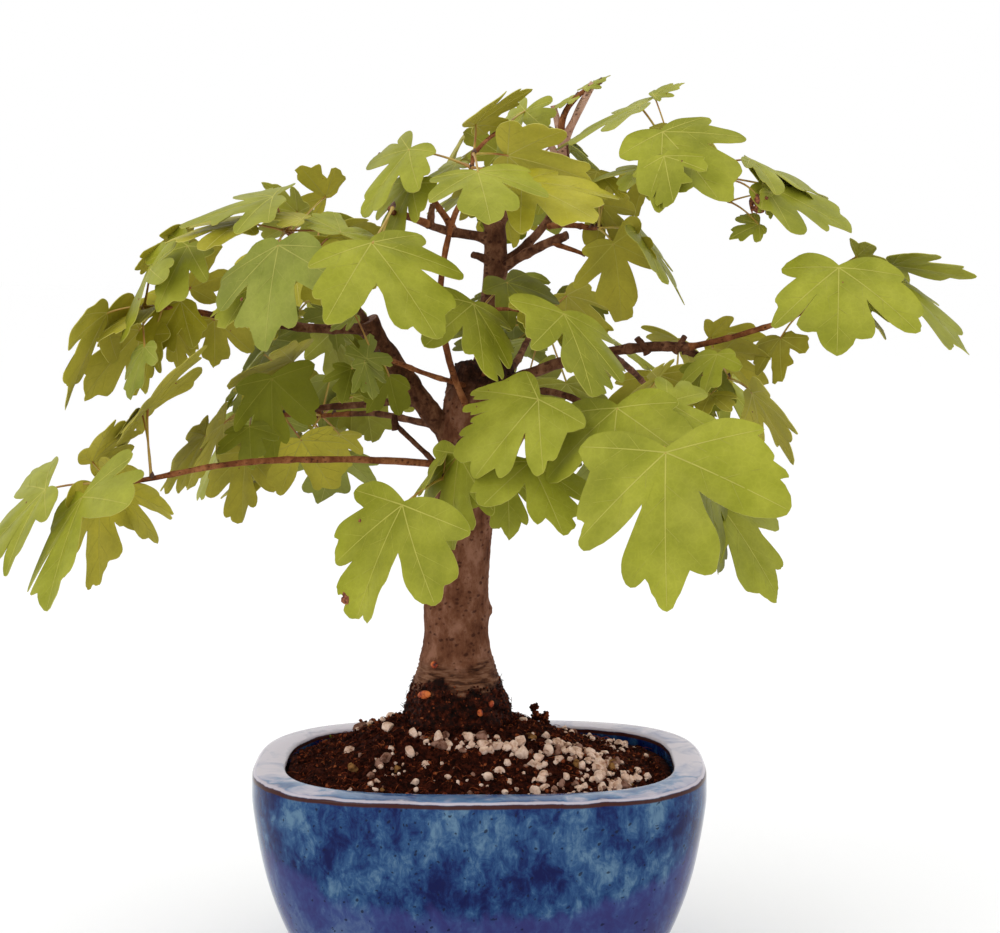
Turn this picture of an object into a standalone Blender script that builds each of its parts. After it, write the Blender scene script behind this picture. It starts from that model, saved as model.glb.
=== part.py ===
"""Field maple bonsai in a blue glazed pot, as one assembly of plain solids.

The pot stands on z = 0, centred on the origin, with its long side along X and
its front towards -Y. Limbs are tapering tubes. Each mass of foliage is a stem
with twigs, leaf stalks and lobed leaves fused into one solid.
"""
import math
import random
from collections import namedtuple

import bmesh
import bpy
from mathutils import Vector
from mathutils.bvhtree import BVHTree

MM = 0.001
GAP = 0.3 * MM

# The pot: a deep bowl on a rounded rectangle, with a flat lip turned inwards.
POT_WIDTH = 209 * MM
POT_DEPTH = 162 * MM
POT_HEIGHT = 108 * MM
POT_CORNER = 3.0
POT_LIP = 15 * MM
POT_WALL = 11 * MM
POT_FLOOR = 12 * MM
POT_FLOOR_HALF = 66
POT_SIDES = 32
RIM_ROUND = 3 * MM
LIP_ROUND = 1.6 * MM
# Height above the foot and half width there in mm, from the foot to the rim.
POT_PROFILE = ((0, 68), (7, 69), (9, 72), (21, 82.5), (38, 91.5), (61, 99), (90, 104.1), (104, 104.5))

# The soil: filled to just under the lip, and heaped round the foot of the trunk.
SOIL_DROP = 7 * MM
SOIL_TOP = 123 * MM
SOIL_PLATEAU = 31 * MM
SOIL_RINGS = 4
SOIL_HOLLOW = 1.3

# The trunk: height, place of its middle to the right, and half thickness, in mm.
TRUNK_BACK = 8 * MM
TRUNK_SIDES = 16
TRUNK_PROFILE = (
    (123.3, -11, 26), (130, -11, 24.5), (138, -11, 22.5), (147, -11, 19), (153, -11, 16.8), (160, -11, 15.4),
    (188, -10.3, 14.7), (210, -9, 14.5), (232, -7, 14.4), (254, -4, 15.2), (272, -1, 15.2), (289, 2, 13.2))
TRUNK_RIDGES = 3
TRUNK_RIDGE = 0.02
RIDGE_TWIST = 60
FLARE_ROOTS = 5
FLARE_SWELL = 0.07
FLARE_TOP = 152 * MM
CUT_TEETH = 5
CUT_RAGGED = 2.2 * MM

LIMB_STEPS = 5
LIMB_BEVEL = 1
STALK_RADIUS = 0.75 * MM
STALK_TIP = 0.4 * MM
STALK_SUNK = 0.6
TWIG_RADIUS = 1.1 * MM
STALK_FAR = 42 * MM
STALK_REST = 20 * MM
STEM_STEPS = 3
STEM_BEVEL = 0
STEM_NECK = 2 * MM
STEM_RADIUS = 1.2 * MM
STEM_TIP = 1.0 * MM

# The leaf: half of its outline, base to tip, for a blade one unit long, and a
# simpler one for the young leaves.
LEAF_HALF = ((0.42, -0.14), (0.41, 0.12), (0.69, 0.29), (0.67, 0.50), (0.20, 0.34), (0.32, 0.78))
YOUNG_HALF = ((0.44, -0.12), (0.68, 0.40), (0.20, 0.34), (0.31, 0.77))
YOUNG_LONG = 25
LEAF_HUB = 0.14
LEAF_SAG = 0.22
LEAF_THICK = 0.9 * MM
LEAF_CLEAR = 0.5 * MM
LEAF_TRIES = 9
# How the rule varies a leaf: swing round its twig, lean towards the twig's tip
# and up, distance out in mm, share of the mass's leaf length, and angles.
PAIR_SWING = 0.6
LEAN_AHEAD = (0.2, 0.9)
LEAN_UP = 0.2
STALK_OUT = (20, 46)
SIZE_SHARE = (0.75, 1.1)
FACING_SWING = 35
RISE_RANGE = (-62, -15)
ROLL_SWING = 25

Limb = namedtuple("Limb", "name grows_from root via tip thick thin")
Leaf = namedtuple("Leaf", "x y z long facing rise roll")
Mass = namedtuple("Mass", "name grows_from stem_end low high seed more size leaves")

# Limbs in mm: where each starts inside the one that bears it, a point on its
# way, its tip, and its radius at either end.
LIMBS = (
    Limb("bough_left", "trunk", (-10, 6, 254), (-33, 1, 283), (-50, -8, 312), 5.4, 4.3),
    Limb("leader", "trunk", (1, 13, 280), (6, 18, 318), (7, 20, 356), 5.6, 5.0),
    Limb("shoot_low_left", "trunk", (-10, 2, 244), (-76, -41, 252), (-130, -60, 248), 1.7, 1.2),
    Limb("stub_low_left", "trunk", (-10, 4, 236), (-28, -3, 254), (-38, -8, 265), 1.3, 1.2),
    Limb("branch_left_low", "bough_left", (-29, 3, 274), (-60, 8, 272), (-83, 10, 268), 1.8, 1.3),
    Limb("branch_left_mid", "bough_left", (-46, -5, 308), (-85, -4, 309), (-124, -9, 315), 2.5, 1.3),
    Limb("branch_left_upper", "bough_left", (-49, -5, 307), (-64, -18, 330), (-78, -24, 345), 2.0, 1.4),
    Limb("twig_left_inner", "trunk", (-2, 0, 280), (-28, -20, 290), (-41, -31, 296), 1.3, 1.0),
    Limb("leader_left", "leader", (6, 19, 348), (-10, 12, 351), (-23, -2, 355), 2.4, 1.8),
    Limb("twig_upper_left", "leader_left", (-12, 11, 352), (-26, 4, 372), (-45, -6, 386), 1.6, 1.2),
    Limb("leader_right", "leader", (6, 20, 332), (26, 9, 344), (40, 2, 350), 2.4, 2.0),
    Limb("twig_right_bare", "leader_right", (33, 5, 347), (41, 2, 344), (48, 0, 341), 1.2, 1.0),
    Limb("limb_top", "leader", (6, 21, 334), (35, 20, 362), (38, 16, 394), 2.1, 1.7),
    Limb("limb_right_upper", "limb_top", (35, 20, 362), (56, 11, 369), (74, 4, 374), 1.8, 1.3),
    Limb("twig_right_middle", "limb_top", (32, 20, 354), (40, 12, 355), (47, 4, 354), 1.4, 1.2),
    Limb("bough_right", "trunk", (2, 8, 278), (53, -4, 296), (95, -18, 300), 2.7, 2.2),
    Limb("shoot_right", "bough_right", (92, -17, 299.8), (113, -25, 305), (133, -32, 312), 1.5, 1.1),
    Limb("branch_right_side", "bough_right", (92, -16, 299), (100, -14, 295), (105, -12, 290), 1.7, 1.3),
    Limb("branch_right_low", "trunk", (2, 2, 272), (28, -20, 280), (48, -42, 275), 1.9, 1.4),
    Limb("shoot_front_upper", "trunk", (-3, 0, 266), (-17, -30, 318), (-7, -42, 366), 1.6, 1.2),
    Limb("twig_front_middle", "trunk", (1, 2, 282), (4, -22, 300), (1, -40, 313), 1.3, 1.1),
    Limb("shoot_front_middle", "trunk", (-2, 2, 262), (6, -25, 264), (11, -45, 268), 1.5, 1.2),
    Limb("shoot_front_low", "trunk", (-8, 2, 240), (-9, -25, 245), (-9, -42, 247), 1.4, 1.2),
    Limb("branch_back_left", "bough_left", (-33, 2, 283), (-54, 40, 302), (-70, 78, 312), 2.1, 1.3),
    Limb("branch_back_top", "leader", (7, 20, 345), (12, 38, 360), (18, 56, 373), 2.0, 1.3),
    Limb("branch_back_middle", "trunk", (0, 10, 276), (16, 50, 288), (24, 84, 300), 2.2, 1.4),
    Limb("branch_back_right", "bough_right", (58, -5, 296.5), (72, 30, 286), (82, 62, 272), 1.8, 1.3),
    Limb("branch_back_low", "trunk", (-8, 8, 256), (-34, 48, 262), (-64, 76, 262), 2.0, 1.3),
)

# Masses in mm: the end of the stem, the corners of the space it keeps to, the
# seed, how many leaves the rule adds and their length, and the leaves that
# lead it. A leaf has its base, its length and its angles in degrees: where its
# tip faces on the compass (-90 is the front), how far it rises, and its roll.
MASSES = (
    Mass("foliage_low_left", "shoot_low_left", (-158, -67, 244), (-234, -125, 180), (-116, -18, 306),
         149, 2, 36, (
             Leaf(-167, -80, 241, 55, -112, -48, -28),
             Leaf(-184, -72, 243, 44, 175, -42, 28),
             Leaf(-168, -56, 252, 27, 10, 45, 35),
             Leaf(-160, -48, 241, 34, -24, -13, 51),
             Leaf(-164, -56, 240, 42, 127, -78, 24),
             Leaf(-145, -48, 274, 40, -29, 50, -13))),
    Mass("foliage_left_middle", "branch_left_mid", (-150, -18, 318), (-217, -75, 255), (-106, 50, 366),
         44, 3, 30, (
             Leaf(-164, -30, 317, 47, -150, -58, 10),
             Leaf(-143, -26, 319, 38, 150, -14, 60),
             Leaf(-127, -36, 346, 34, -130, -52, 0),
             Leaf(-130, -10, 349, 30, -155, -25, -40),
             Leaf(-156, 10, 307, 41, -150, -42, -58),
             Leaf(-135, 22, 325, 25, 7, 66, 50))),
    Mass("foliage_left_upper", "branch_left_upper", (-84, -42, 352), (-162, -118, 292), (-40, 40, 395),
         1, 2, 26, (
             Leaf(-88, -46, 367, 43, -162, -14, 12),
             Leaf(-101, -50, 356, 35, -170, -10, 14),
             Leaf(-83, -80, 347, 47, -110, -63, -12),
             Leaf(-70, 8, 367, 22, -134, 43, -40),
             Leaf(-59, -52, 351, 27, 103, 25, -13))),
    Mass("foliage_centre_front", "leader_left", (-36, -66, 362), (-87, -150, 290), (16, 8, 380),
         1, 1, 24, (
             Leaf(-44, -95, 348, 52, -40, -41, -18),
             Leaf(-29, -30, 373, 28, -150, -58, 10))),
    Mass("foliage_left_inner", "twig_left_inner", (-49, -37, 297), (-74, -66, 262), (-16, 8, 322),
         1, 1, 15, (
             Leaf(-49, -41, 296, 16, 85, 47, -6),
             Leaf(-50, -43, 295, 17, -40, -66, 3))),
    Mass("foliage_top_front", "shoot_front_upper", (-2, -46, 385), (-74, -122, 335), (60, 14, 425),
         43, 2, 26, (
             Leaf(-30, -30, 388, 38, -150, -45, 5),
             Leaf(-9, -30, 382, 23, 162, -26, 25),
             Leaf(-2, -26, 398, 30, 4, 38, 19),
             Leaf(21, -5, 406, 28, -150, -50, 2),
             Leaf(0, -76, 377, 39, -81, -27, -3),
             Leaf(12, -36, 385, 39, 0, -11, 38),
             Leaf(18, -60, 373, 42, -37, -19, -22))),
    Mass("foliage_top_fork", "limb_top", (55, 12, 419), (16, -14, 388), (78, 45, 436), 7, 0, 10, (
        Leaf(44, 14, 413, 12, -170, -25, 10),
        Leaf(48, 13, 417, 13, -10, 30, -20))),
    Mass("foliage_top_right", "limb_right_upper", (95, -16, 377), (32, -105, 325), (174, 40, 425),
         56, 3, 28, (
             Leaf(79, -46, 395, 45, -51, -35, -29),
             Leaf(79, -62, 384, 25, -83, -48, -30),
             Leaf(72, -26, 407, 41, 175, -22, 10),
             Leaf(123, -36, 373, 46, 2, -22, -27),
             Leaf(119, -25, 384, 34, -5, -25, -6))),
    Mass("foliage_right_hanging", "twig_right_middle", (54, -8, 353), (34, -80, 300), (116, 20, 382),
         10, 1, 22, (
             Leaf(55, -12, 364, 28, 18, -50, 21),
             Leaf(60, -20, 347, 35, 45, -75, 8),
             Leaf(70, -26, 352, 39, 2, -50, -12))),
    Mass("foliage_right_far", "shoot_right", (153, -38, 332), (110, -115, 275), (230, 25, 362),
         8, 2, 26, (
             Leaf(155, -55, 337, 47, -98, -43, 5),
             Leaf(168, -20, 341, 27, -40, -18, 45),
             Leaf(182, -28, 337, 36, -2, -4, 19),
             Leaf(181, -42, 331, 46, -20, -37, -8))),
    Mass("foliage_right_middle", "branch_right_side", (112, -16, 286), (82, -72, 240), (150, 55, 325),
         6, 2, 24, (
             Leaf(120, -40, 282, 37, -12, -54, 28),
             Leaf(99, -32, 292, 24, 50, -70, -8),
             Leaf(110, -8, 298, 31, 6, -44, 32))),
    Mass("foliage_right_front", "branch_right_low", (72, -78, 278), (18, -190, 180), (168, -22, 305),
         5, 1, 34, (
             Leaf(76, -125, 265, 66, -89, -61, -15),
             Leaf(58, -95, 280, 48, -104, -53, -22),
             Leaf(78, -98, 282, 31, -19, -27, -28),
             Leaf(78, -56, 289, 23, -162, -30, -38),
             Leaf(96, -80, 252, 44, -28, -75, 5),
             Leaf(110, -60, 238, 50, -25, -49, 8))),
    Mass("foliage_middle_front", "twig_front_middle", (0, -52, 318), (-32, -125, 268), (83, 2, 345),
         2, 1, 24, (
             Leaf(-2, -70, 322, 37, -73, -45, 24),
             Leaf(36, -76, 318, 45, -65, -41, 17),
             Leaf(12, -34, 330, 36, -36, -38, -6))),
    Mass("foliage_front", "shoot_front_middle", (20, -72, 266), (-34, -145, 200), (58, -36, 305),
         16, 0, 24, (
             Leaf(26, -90, 283, 43, -165, -46, 42),
             Leaf(22, -82, 256, 37, -56, -46, -13))),
    Mass("foliage_front_low", "shoot_front_low", (-15, -60, 246), (-92, -135, 170), (26, -30, 268),
         17, 0, 24, (
             Leaf(-31, -90, 239, 53, -171, -62, 38),
             Leaf(-14, -60, 256, 27, 164, -48, 10),
             Leaf(-8, -68, 258, 42, -152, -79, 6))),
    Mass("foliage_left_low", "branch_left_low", (-102, 4, 272), (-170, -42, 198), (-50, 55, 305),
         13, 2, 26, (
             Leaf(-93, -20, 287, 39, 100, -80, 28),
             Leaf(-85, 0, 293, 37, -144, -12, -38),
             Leaf(-127, 10, 258, 35, -132, -34, -55),
             Leaf(-117, 0, 265, 37, -139, -51, -50),
             Leaf(-109, 16, 250, 34, 140, -78, 0),
             Leaf(-83, 10, 256, 31, 52, -50, 50))),
    Mass("foliage_back_left", "branch_back_left", (-86, 104, 318), (-162, 20, 262), (-42, 165, 366),
         60, 11, 40, ()),
    Mass("foliage_back_top", "branch_back_top", (22, 74, 383), (-30, 6, 335), (74, 140, 408),
         5, 9, 34, ()),
    Mass("foliage_back_middle", "branch_back_middle", (32, 108, 306), (-32, 48, 250), (96, 168, 350),
         9, 8, 40, ()),
    Mass("foliage_back_right", "branch_back_right", (96, 84, 262), (38, 30, 196), (166, 142, 310),
         47, 10, 40, ()),
    Mass("foliage_back_low", "branch_back_low", (-86, 98, 258), (-162, 44, 200), (-27, 150, 300),
         100, 8, 40, ()),
)

BARK_HEX = "5e3f30"
YOUNG_BARK_HEX = "74432c"
LEAF_HEX = "96963b"
GLAZE_HEX = "1f3f78"
SOIL_HEX = "33201a"


def clear_scene():
    """Remove what an empty file starts with."""
    for thing in list(bpy.data.objects):
        bpy.data.objects.remove(thing, do_unlink=True)


def linear(hex_colour):
    """Turn an sRGB hex colour into linear values with full alpha."""
    channels = [int(hex_colour[i:i + 2], 16) / 255 for i in (0, 2, 4)]
    return [c / 12.92 if c <= 0.04045 else ((c + 0.055) / 1.055) ** 2.4 for c in channels] + [1.0]


def material(name, hex_colour, roughness):
    """Make a plain material from a colour and a roughness."""
    made = bpy.data.materials.new(name)
    made.use_nodes = True
    shader = made.node_tree.nodes["Principled BSDF"]
    shader.inputs["Base Color"].default_value = linear(hex_colour)
    shader.inputs["Roughness"].default_value = roughness
    shader.inputs["Metallic"].default_value = 0.0
    return made


def point(values):
    """A point given in millimetres, as metres."""
    return Vector(values) * MM


def add_object(name, mesh, finish, collection):
    """Link a mesh as a named object with its own copy of a finish."""
    piece = bpy.data.objects.new(name, mesh)
    collection.objects.link(piece)
    own_finish = finish.copy()
    own_finish.name = name + "_finish"
    mesh.materials.clear()
    mesh.materials.append(own_finish)
    return piece


def new_mesh(name, bm):
    """Write a bmesh out as a mesh with its faces pointing outwards."""
    bmesh.ops.recalc_face_normals(bm, faces=bm.faces)
    mesh = bpy.data.meshes.new(name)
    bm.to_mesh(mesh)
    bm.free()
    return mesh


def loft(rings):
    """Skin closed rings of points, with a flat cap on the first and the last."""
    bm = bmesh.new()
    rows = [[bm.verts.new(place) for place in ring] for ring in rings]
    count = len(rows[0])
    for lower, upper in zip(rows, rows[1:]):
        for i in range(count):
            j = (i + 1) % count
            bm.faces.new((lower[i], lower[j], upper[j], upper[i]))
    bm.faces.new(rows[0])
    bm.faces.new(rows[-1])
    return bm


def rounded_ring(half_width, half_depth, height):
    """Points round a rounded rectangle, a circle pushed out at its corners."""
    ring = []
    for i in range(POT_SIDES):
        turn = math.tau * (i + 0.5) / POT_SIDES
        reach = (abs(math.cos(turn)) ** POT_CORNER + abs(math.sin(turn)) ** POT_CORNER) ** (-1 / POT_CORNER)
        ring.append(Vector((half_width * reach * math.cos(turn), half_depth * reach * math.sin(turn), height)))
    return ring


def pot_ring(half_width, inset, height):
    """A ring of the pot at a half width in mm, moved in by an inset in metres."""
    across = half_width * MM
    along = across * POT_DEPTH / POT_WIDTH
    return rounded_ring(across - inset, along - inset, height)


def cavity_rings(shrink):
    """The inside of the pot from its floor up to the lip's inner edge."""
    rings = [pot_ring(POT_FLOOR_HALF, shrink, POT_FLOOR + shrink)]
    for height, half_width in POT_PROFILE[4:-1]:
        rings.append(pot_ring(half_width, POT_WALL + shrink, height * MM))
    rings.append(pot_ring(POT_PROFILE[-1][1], POT_LIP + shrink, POT_HEIGHT - SOIL_DROP))
    return rings


def make_pot(finish, collection):
    """The glazed bowl with its foot, rounded rim, flat lip and hollow inside."""
    rings = [pot_ring(half_width, 0, height * MM) for height, half_width in POT_PROFILE]
    rim = POT_PROFILE[-1][1]
    for turn in (math.radians(45), math.radians(90)):
        inset = RIM_ROUND * (1 - math.cos(turn))
        rings.append(pot_ring(rim, inset, POT_HEIGHT - RIM_ROUND * (1 - math.sin(turn))))
    rings.append(pot_ring(rim, POT_LIP - LIP_ROUND, POT_HEIGHT))
    rings.append(pot_ring(rim, POT_LIP, POT_HEIGHT - LIP_ROUND))
    rings.extend(reversed(cavity_rings(0)))
    return add_object("pot", new_mesh("pot", loft(rings)), finish, collection)


def make_soil(finish, collection):
    """The soil that fills the pot, heaped up to a flat place under the trunk."""
    rings = cavity_rings(GAP)
    edge = rings[-1]
    middle = Vector((TRUNK_PROFILE[0][1] * MM, TRUNK_BACK, 0))
    for step in range(1, SOIL_RINGS + 1):
        share = step / SOIL_RINGS
        ring = []
        for rim_point in edge:
            away = (rim_point - middle).to_2d().normalized()
            inner = middle + Vector((away.x, away.y, 0)) * SOIL_PLATEAU
            place = rim_point.lerp(inner, share)
            place.z = edge[0].z + (SOIL_TOP - edge[0].z) * share ** SOIL_HOLLOW
            ring.append(place)
        rings.append(ring)
    return add_object("soil", new_mesh("soil", loft(rings)), finish, collection)


def trunk_ring(height, right, radius):
    """One ring of the trunk, with root swellings low down and a ragged cut on top."""
    flare = max(0.0, 1 - (height - SOIL_TOP) / (FLARE_TOP - SOIL_TOP))
    top = height == TRUNK_PROFILE[-1][0] * MM
    ring = []
    for i in range(TRUNK_SIDES):
        turn = math.tau * i / TRUNK_SIDES
        swell = 1 + TRUNK_RIDGE * math.sin(TRUNK_RIDGES * turn + height * RIDGE_TWIST)
        swell += FLARE_SWELL * flare * math.sin(FLARE_ROOTS * turn)
        ragged = CUT_RAGGED * math.sin(CUT_TEETH * turn) if top else 0.0
        ring.append(Vector((right + radius * swell * math.cos(turn),
                            TRUNK_BACK + radius * swell * math.sin(turn), height + ragged)))
    return ring


def make_trunk(finish, collection):
    """The trunk from its flat cut on the soil to the ragged cut at its top."""
    rings = [trunk_ring(*(value * MM for value in row)) for row in TRUNK_PROFILE]
    bm = loft(rings)
    top = max(bm.faces, key=lambda face: face.calc_center_median().z)
    bmesh.ops.poke(bm, faces=[top])
    return add_object("trunk", new_mesh("trunk", bm), finish, collection)


def bend(root, pull, tip, steps):
    """Points on a smooth bend from root to tip, drawn towards a third point."""
    points = []
    for i in range(steps + 1):
        t = i / steps
        points.append(root * (1 - t) ** 2 + pull * 2 * t * (1 - t) + tip * t ** 2)
    return points


def tube_mesh(name, points, thick, thin, resolution):
    """A tapering tube with closed ends, from a bevelled curve."""
    curve = bpy.data.curves.new(name, "CURVE")
    curve.dimensions = "3D"
    curve.bevel_depth = 1.0
    curve.bevel_resolution = resolution
    curve.use_fill_caps = True
    spline = curve.splines.new("POLY")
    spline.points.add(len(points) - 1)
    for i, place in enumerate(points):
        spline.points[i].co = (*place, 1.0)
        spline.points[i].radius = thick + (thin - thick) * i / (len(points) - 1)
    carrier = bpy.data.objects.new(name, curve)
    bpy.context.scene.collection.objects.link(carrier)
    graph = bpy.context.evaluated_depsgraph_get()
    mesh = bpy.data.meshes.new_from_object(carrier.evaluated_get(graph))
    bpy.data.objects.remove(carrier, do_unlink=True)
    bm = bmesh.new()
    bm.from_mesh(mesh)
    bmesh.ops.remove_doubles(bm, verts=bm.verts, dist=0.01 * MM)
    bpy.data.meshes.remove(mesh)
    return new_mesh(name, bm)


def swollen_copy(piece, by):
    """A copy of a piece grown outwards all round, to cut its neighbour clear."""
    mesh = piece.data.copy()
    for vertex in mesh.vertices:
        vertex.co = vertex.co + vertex.normal * by
    return bpy.data.objects.new(piece.name + "_cutter", mesh)


def cut_clear(piece, parent, cutters):
    """Cut a limb back to 0.3 mm from the surface of what bears it."""
    cutter = swollen_copy(parent, GAP)
    cutters.objects.link(cutter)
    cutter.hide_render = True
    cutter.display_type = "WIRE"
    cut = piece.modifiers.new("cut clear", "BOOLEAN")
    cut.operation = "DIFFERENCE"
    cut.object = cutter
    apply_all(piece)
    bpy.data.objects.remove(cutter, do_unlink=True)


def apply_all(piece):
    """Bake a piece's modifiers into its mesh and keep its largest body."""
    graph = bpy.context.evaluated_depsgraph_get()
    mesh = bpy.data.meshes.new_from_object(piece.evaluated_get(graph))
    piece.modifiers.clear()
    bm = bmesh.new()
    bm.from_mesh(mesh)
    keep_largest(bm)
    bm.to_mesh(mesh)
    bm.free()
    piece.data = mesh


def keep_largest(bm):
    """Drop loose scraps and the walls of sealed hollows."""
    waiting = set(bm.verts)
    islands = []
    while waiting:
        front = [waiting.pop()]
        island = set(front)
        while front:
            for edge in front.pop().link_edges:
                for vertex in edge.verts:
                    if vertex in waiting:
                        waiting.remove(vertex)
                        island.add(vertex)
                        front.append(vertex)
        islands.append(island)
    largest = max(islands, key=len)
    bmesh.ops.delete(bm, geom=[v for v in bm.verts if v not in largest], context="VERTS")


def limb_points(limb):
    """Points along a limb, through the one that it passes on its way."""
    root = point(limb.root)
    tip = point(limb.tip)
    pull = point(limb.via) * 2 - (root + tip) / 2
    return bend(root, pull, tip, LIMB_STEPS)


def make_limb(limb, solids, finish, collection, cutters):
    """One tapering limb, cut clear of the limb or trunk that bears it."""
    points = limb_points(limb)
    mesh = tube_mesh(limb.name, points, limb.thick * MM, limb.thin * MM, LIMB_BEVEL)
    piece = add_object(limb.name, mesh, finish, collection)
    cut_clear(piece, solids[limb.grows_from], cutters)
    return piece


def leaf_axes(leaf):
    """Unit vectors across a leaf, along it to its tip, and up out of its face."""
    facing = math.radians(leaf.facing)
    rise = math.radians(leaf.rise)
    roll = math.radians(leaf.roll)
    along = Vector((math.cos(rise) * math.cos(facing), math.cos(rise) * math.sin(facing), math.sin(rise)))
    level = Vector((math.sin(facing), -math.cos(facing), 0))
    across = level * math.cos(roll) + level.cross(along) * math.sin(roll)
    return across, along, across.cross(along)


def leaf_points(leaf):
    """The hub of a leaf's blade, then its outline, sagging away from the stalk."""
    across, along, up = leaf_axes(leaf)
    base = point((leaf.x, leaf.y, leaf.z))
    half = YOUNG_HALF if leaf.long < YOUNG_LONG else LEAF_HALF
    flat = [(0.0, 0.0), *half, (0.0, 1.0), *((-x, y) for x, y in reversed(half))]
    flat.insert(0, (0.0, LEAF_HUB))
    long = leaf.long * MM
    return [base + (across * x + along * y - up * LEAF_SAG * (x * x + 0.5 * y * y)) * long for x, y in flat]


def leaf_faces(points):
    """Triangles from the hub to each edge of the outline."""
    count = len(points) - 1
    return [(0, 1 + i, 1 + (i + 1) % count) for i in range(count)]


def leaf_tree(leaf):
    """A search tree of a leaf's blade, made thicker by the room it needs."""
    up = leaf_axes(leaf)[2]
    points = leaf_points(leaf)
    faces = leaf_faces(points)
    room = up * (LEAF_CLEAR + LEAF_THICK / 2)
    both = [place + room for place in points] + [place - room for place in points]
    shifted = [tuple(i + len(points) for i in face) for face in faces]
    count = len(points)
    walls = [(i, 1 + i % (count - 1), 1 + i % (count - 1) + count, i + count) for i in range(1, count)]
    return BVHTree.FromPolygons(both, faces + shifted + walls)


def stalk_tree(start, end):
    """A search tree of a straight stalk, made thicker by the room it needs."""
    side = (end - start).orthogonal().normalized() * (STALK_RADIUS + LEAF_CLEAR)
    other = side.cross((end - start).normalized())
    corners = [place + offset for place in (start, end) for offset in (side, other, -side, -other)]
    walls = [(i, (i + 1) % 4, 4 + (i + 1) % 4, 4 + i) for i in range(4)]
    return BVHTree.FromPolygons(corners, walls)


def mesh_tree(piece):
    """A search tree of a finished piece."""
    mesh = piece.data
    corners = [vertex.co.copy() for vertex in mesh.vertices]
    return BVHTree.FromPolygons(corners, [tuple(face.vertices) for face in mesh.polygons])


def inside(places, mass):
    """Whether all the points lie in the space that a mass keeps to."""
    low = point(mass.low)
    high = point(mass.high)
    return all(low[k] <= place[k] <= high[k] for place in places for k in range(3))


def clear_of(trees, others):
    """Whether none of the search trees touches any of the others."""
    return not any(tree.overlap(other) for tree in trees for other in others)


def stalk_mesh(start, end, thick, thin):
    """A straight stalk with three sides."""
    bm = bmesh.new()
    run = end - start
    bmesh.ops.create_cone(bm, cap_ends=True, segments=3, radius1=thick, radius2=thin, depth=run.length)
    turn = run.to_track_quat("Z", "Y").to_matrix().to_4x4()
    turn.translation = (start + end) / 2
    bmesh.ops.transform(bm, matrix=turn, verts=bm.verts)
    return new_mesh("stalk", bm)


def leaf_mesh(leaf):
    """A leaf's blade as an open sheet of triangles."""
    mesh = bpy.data.meshes.new("leaf")
    points = leaf_points(leaf)
    mesh.from_pydata(points, [], leaf_faces(points))
    return mesh


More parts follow.
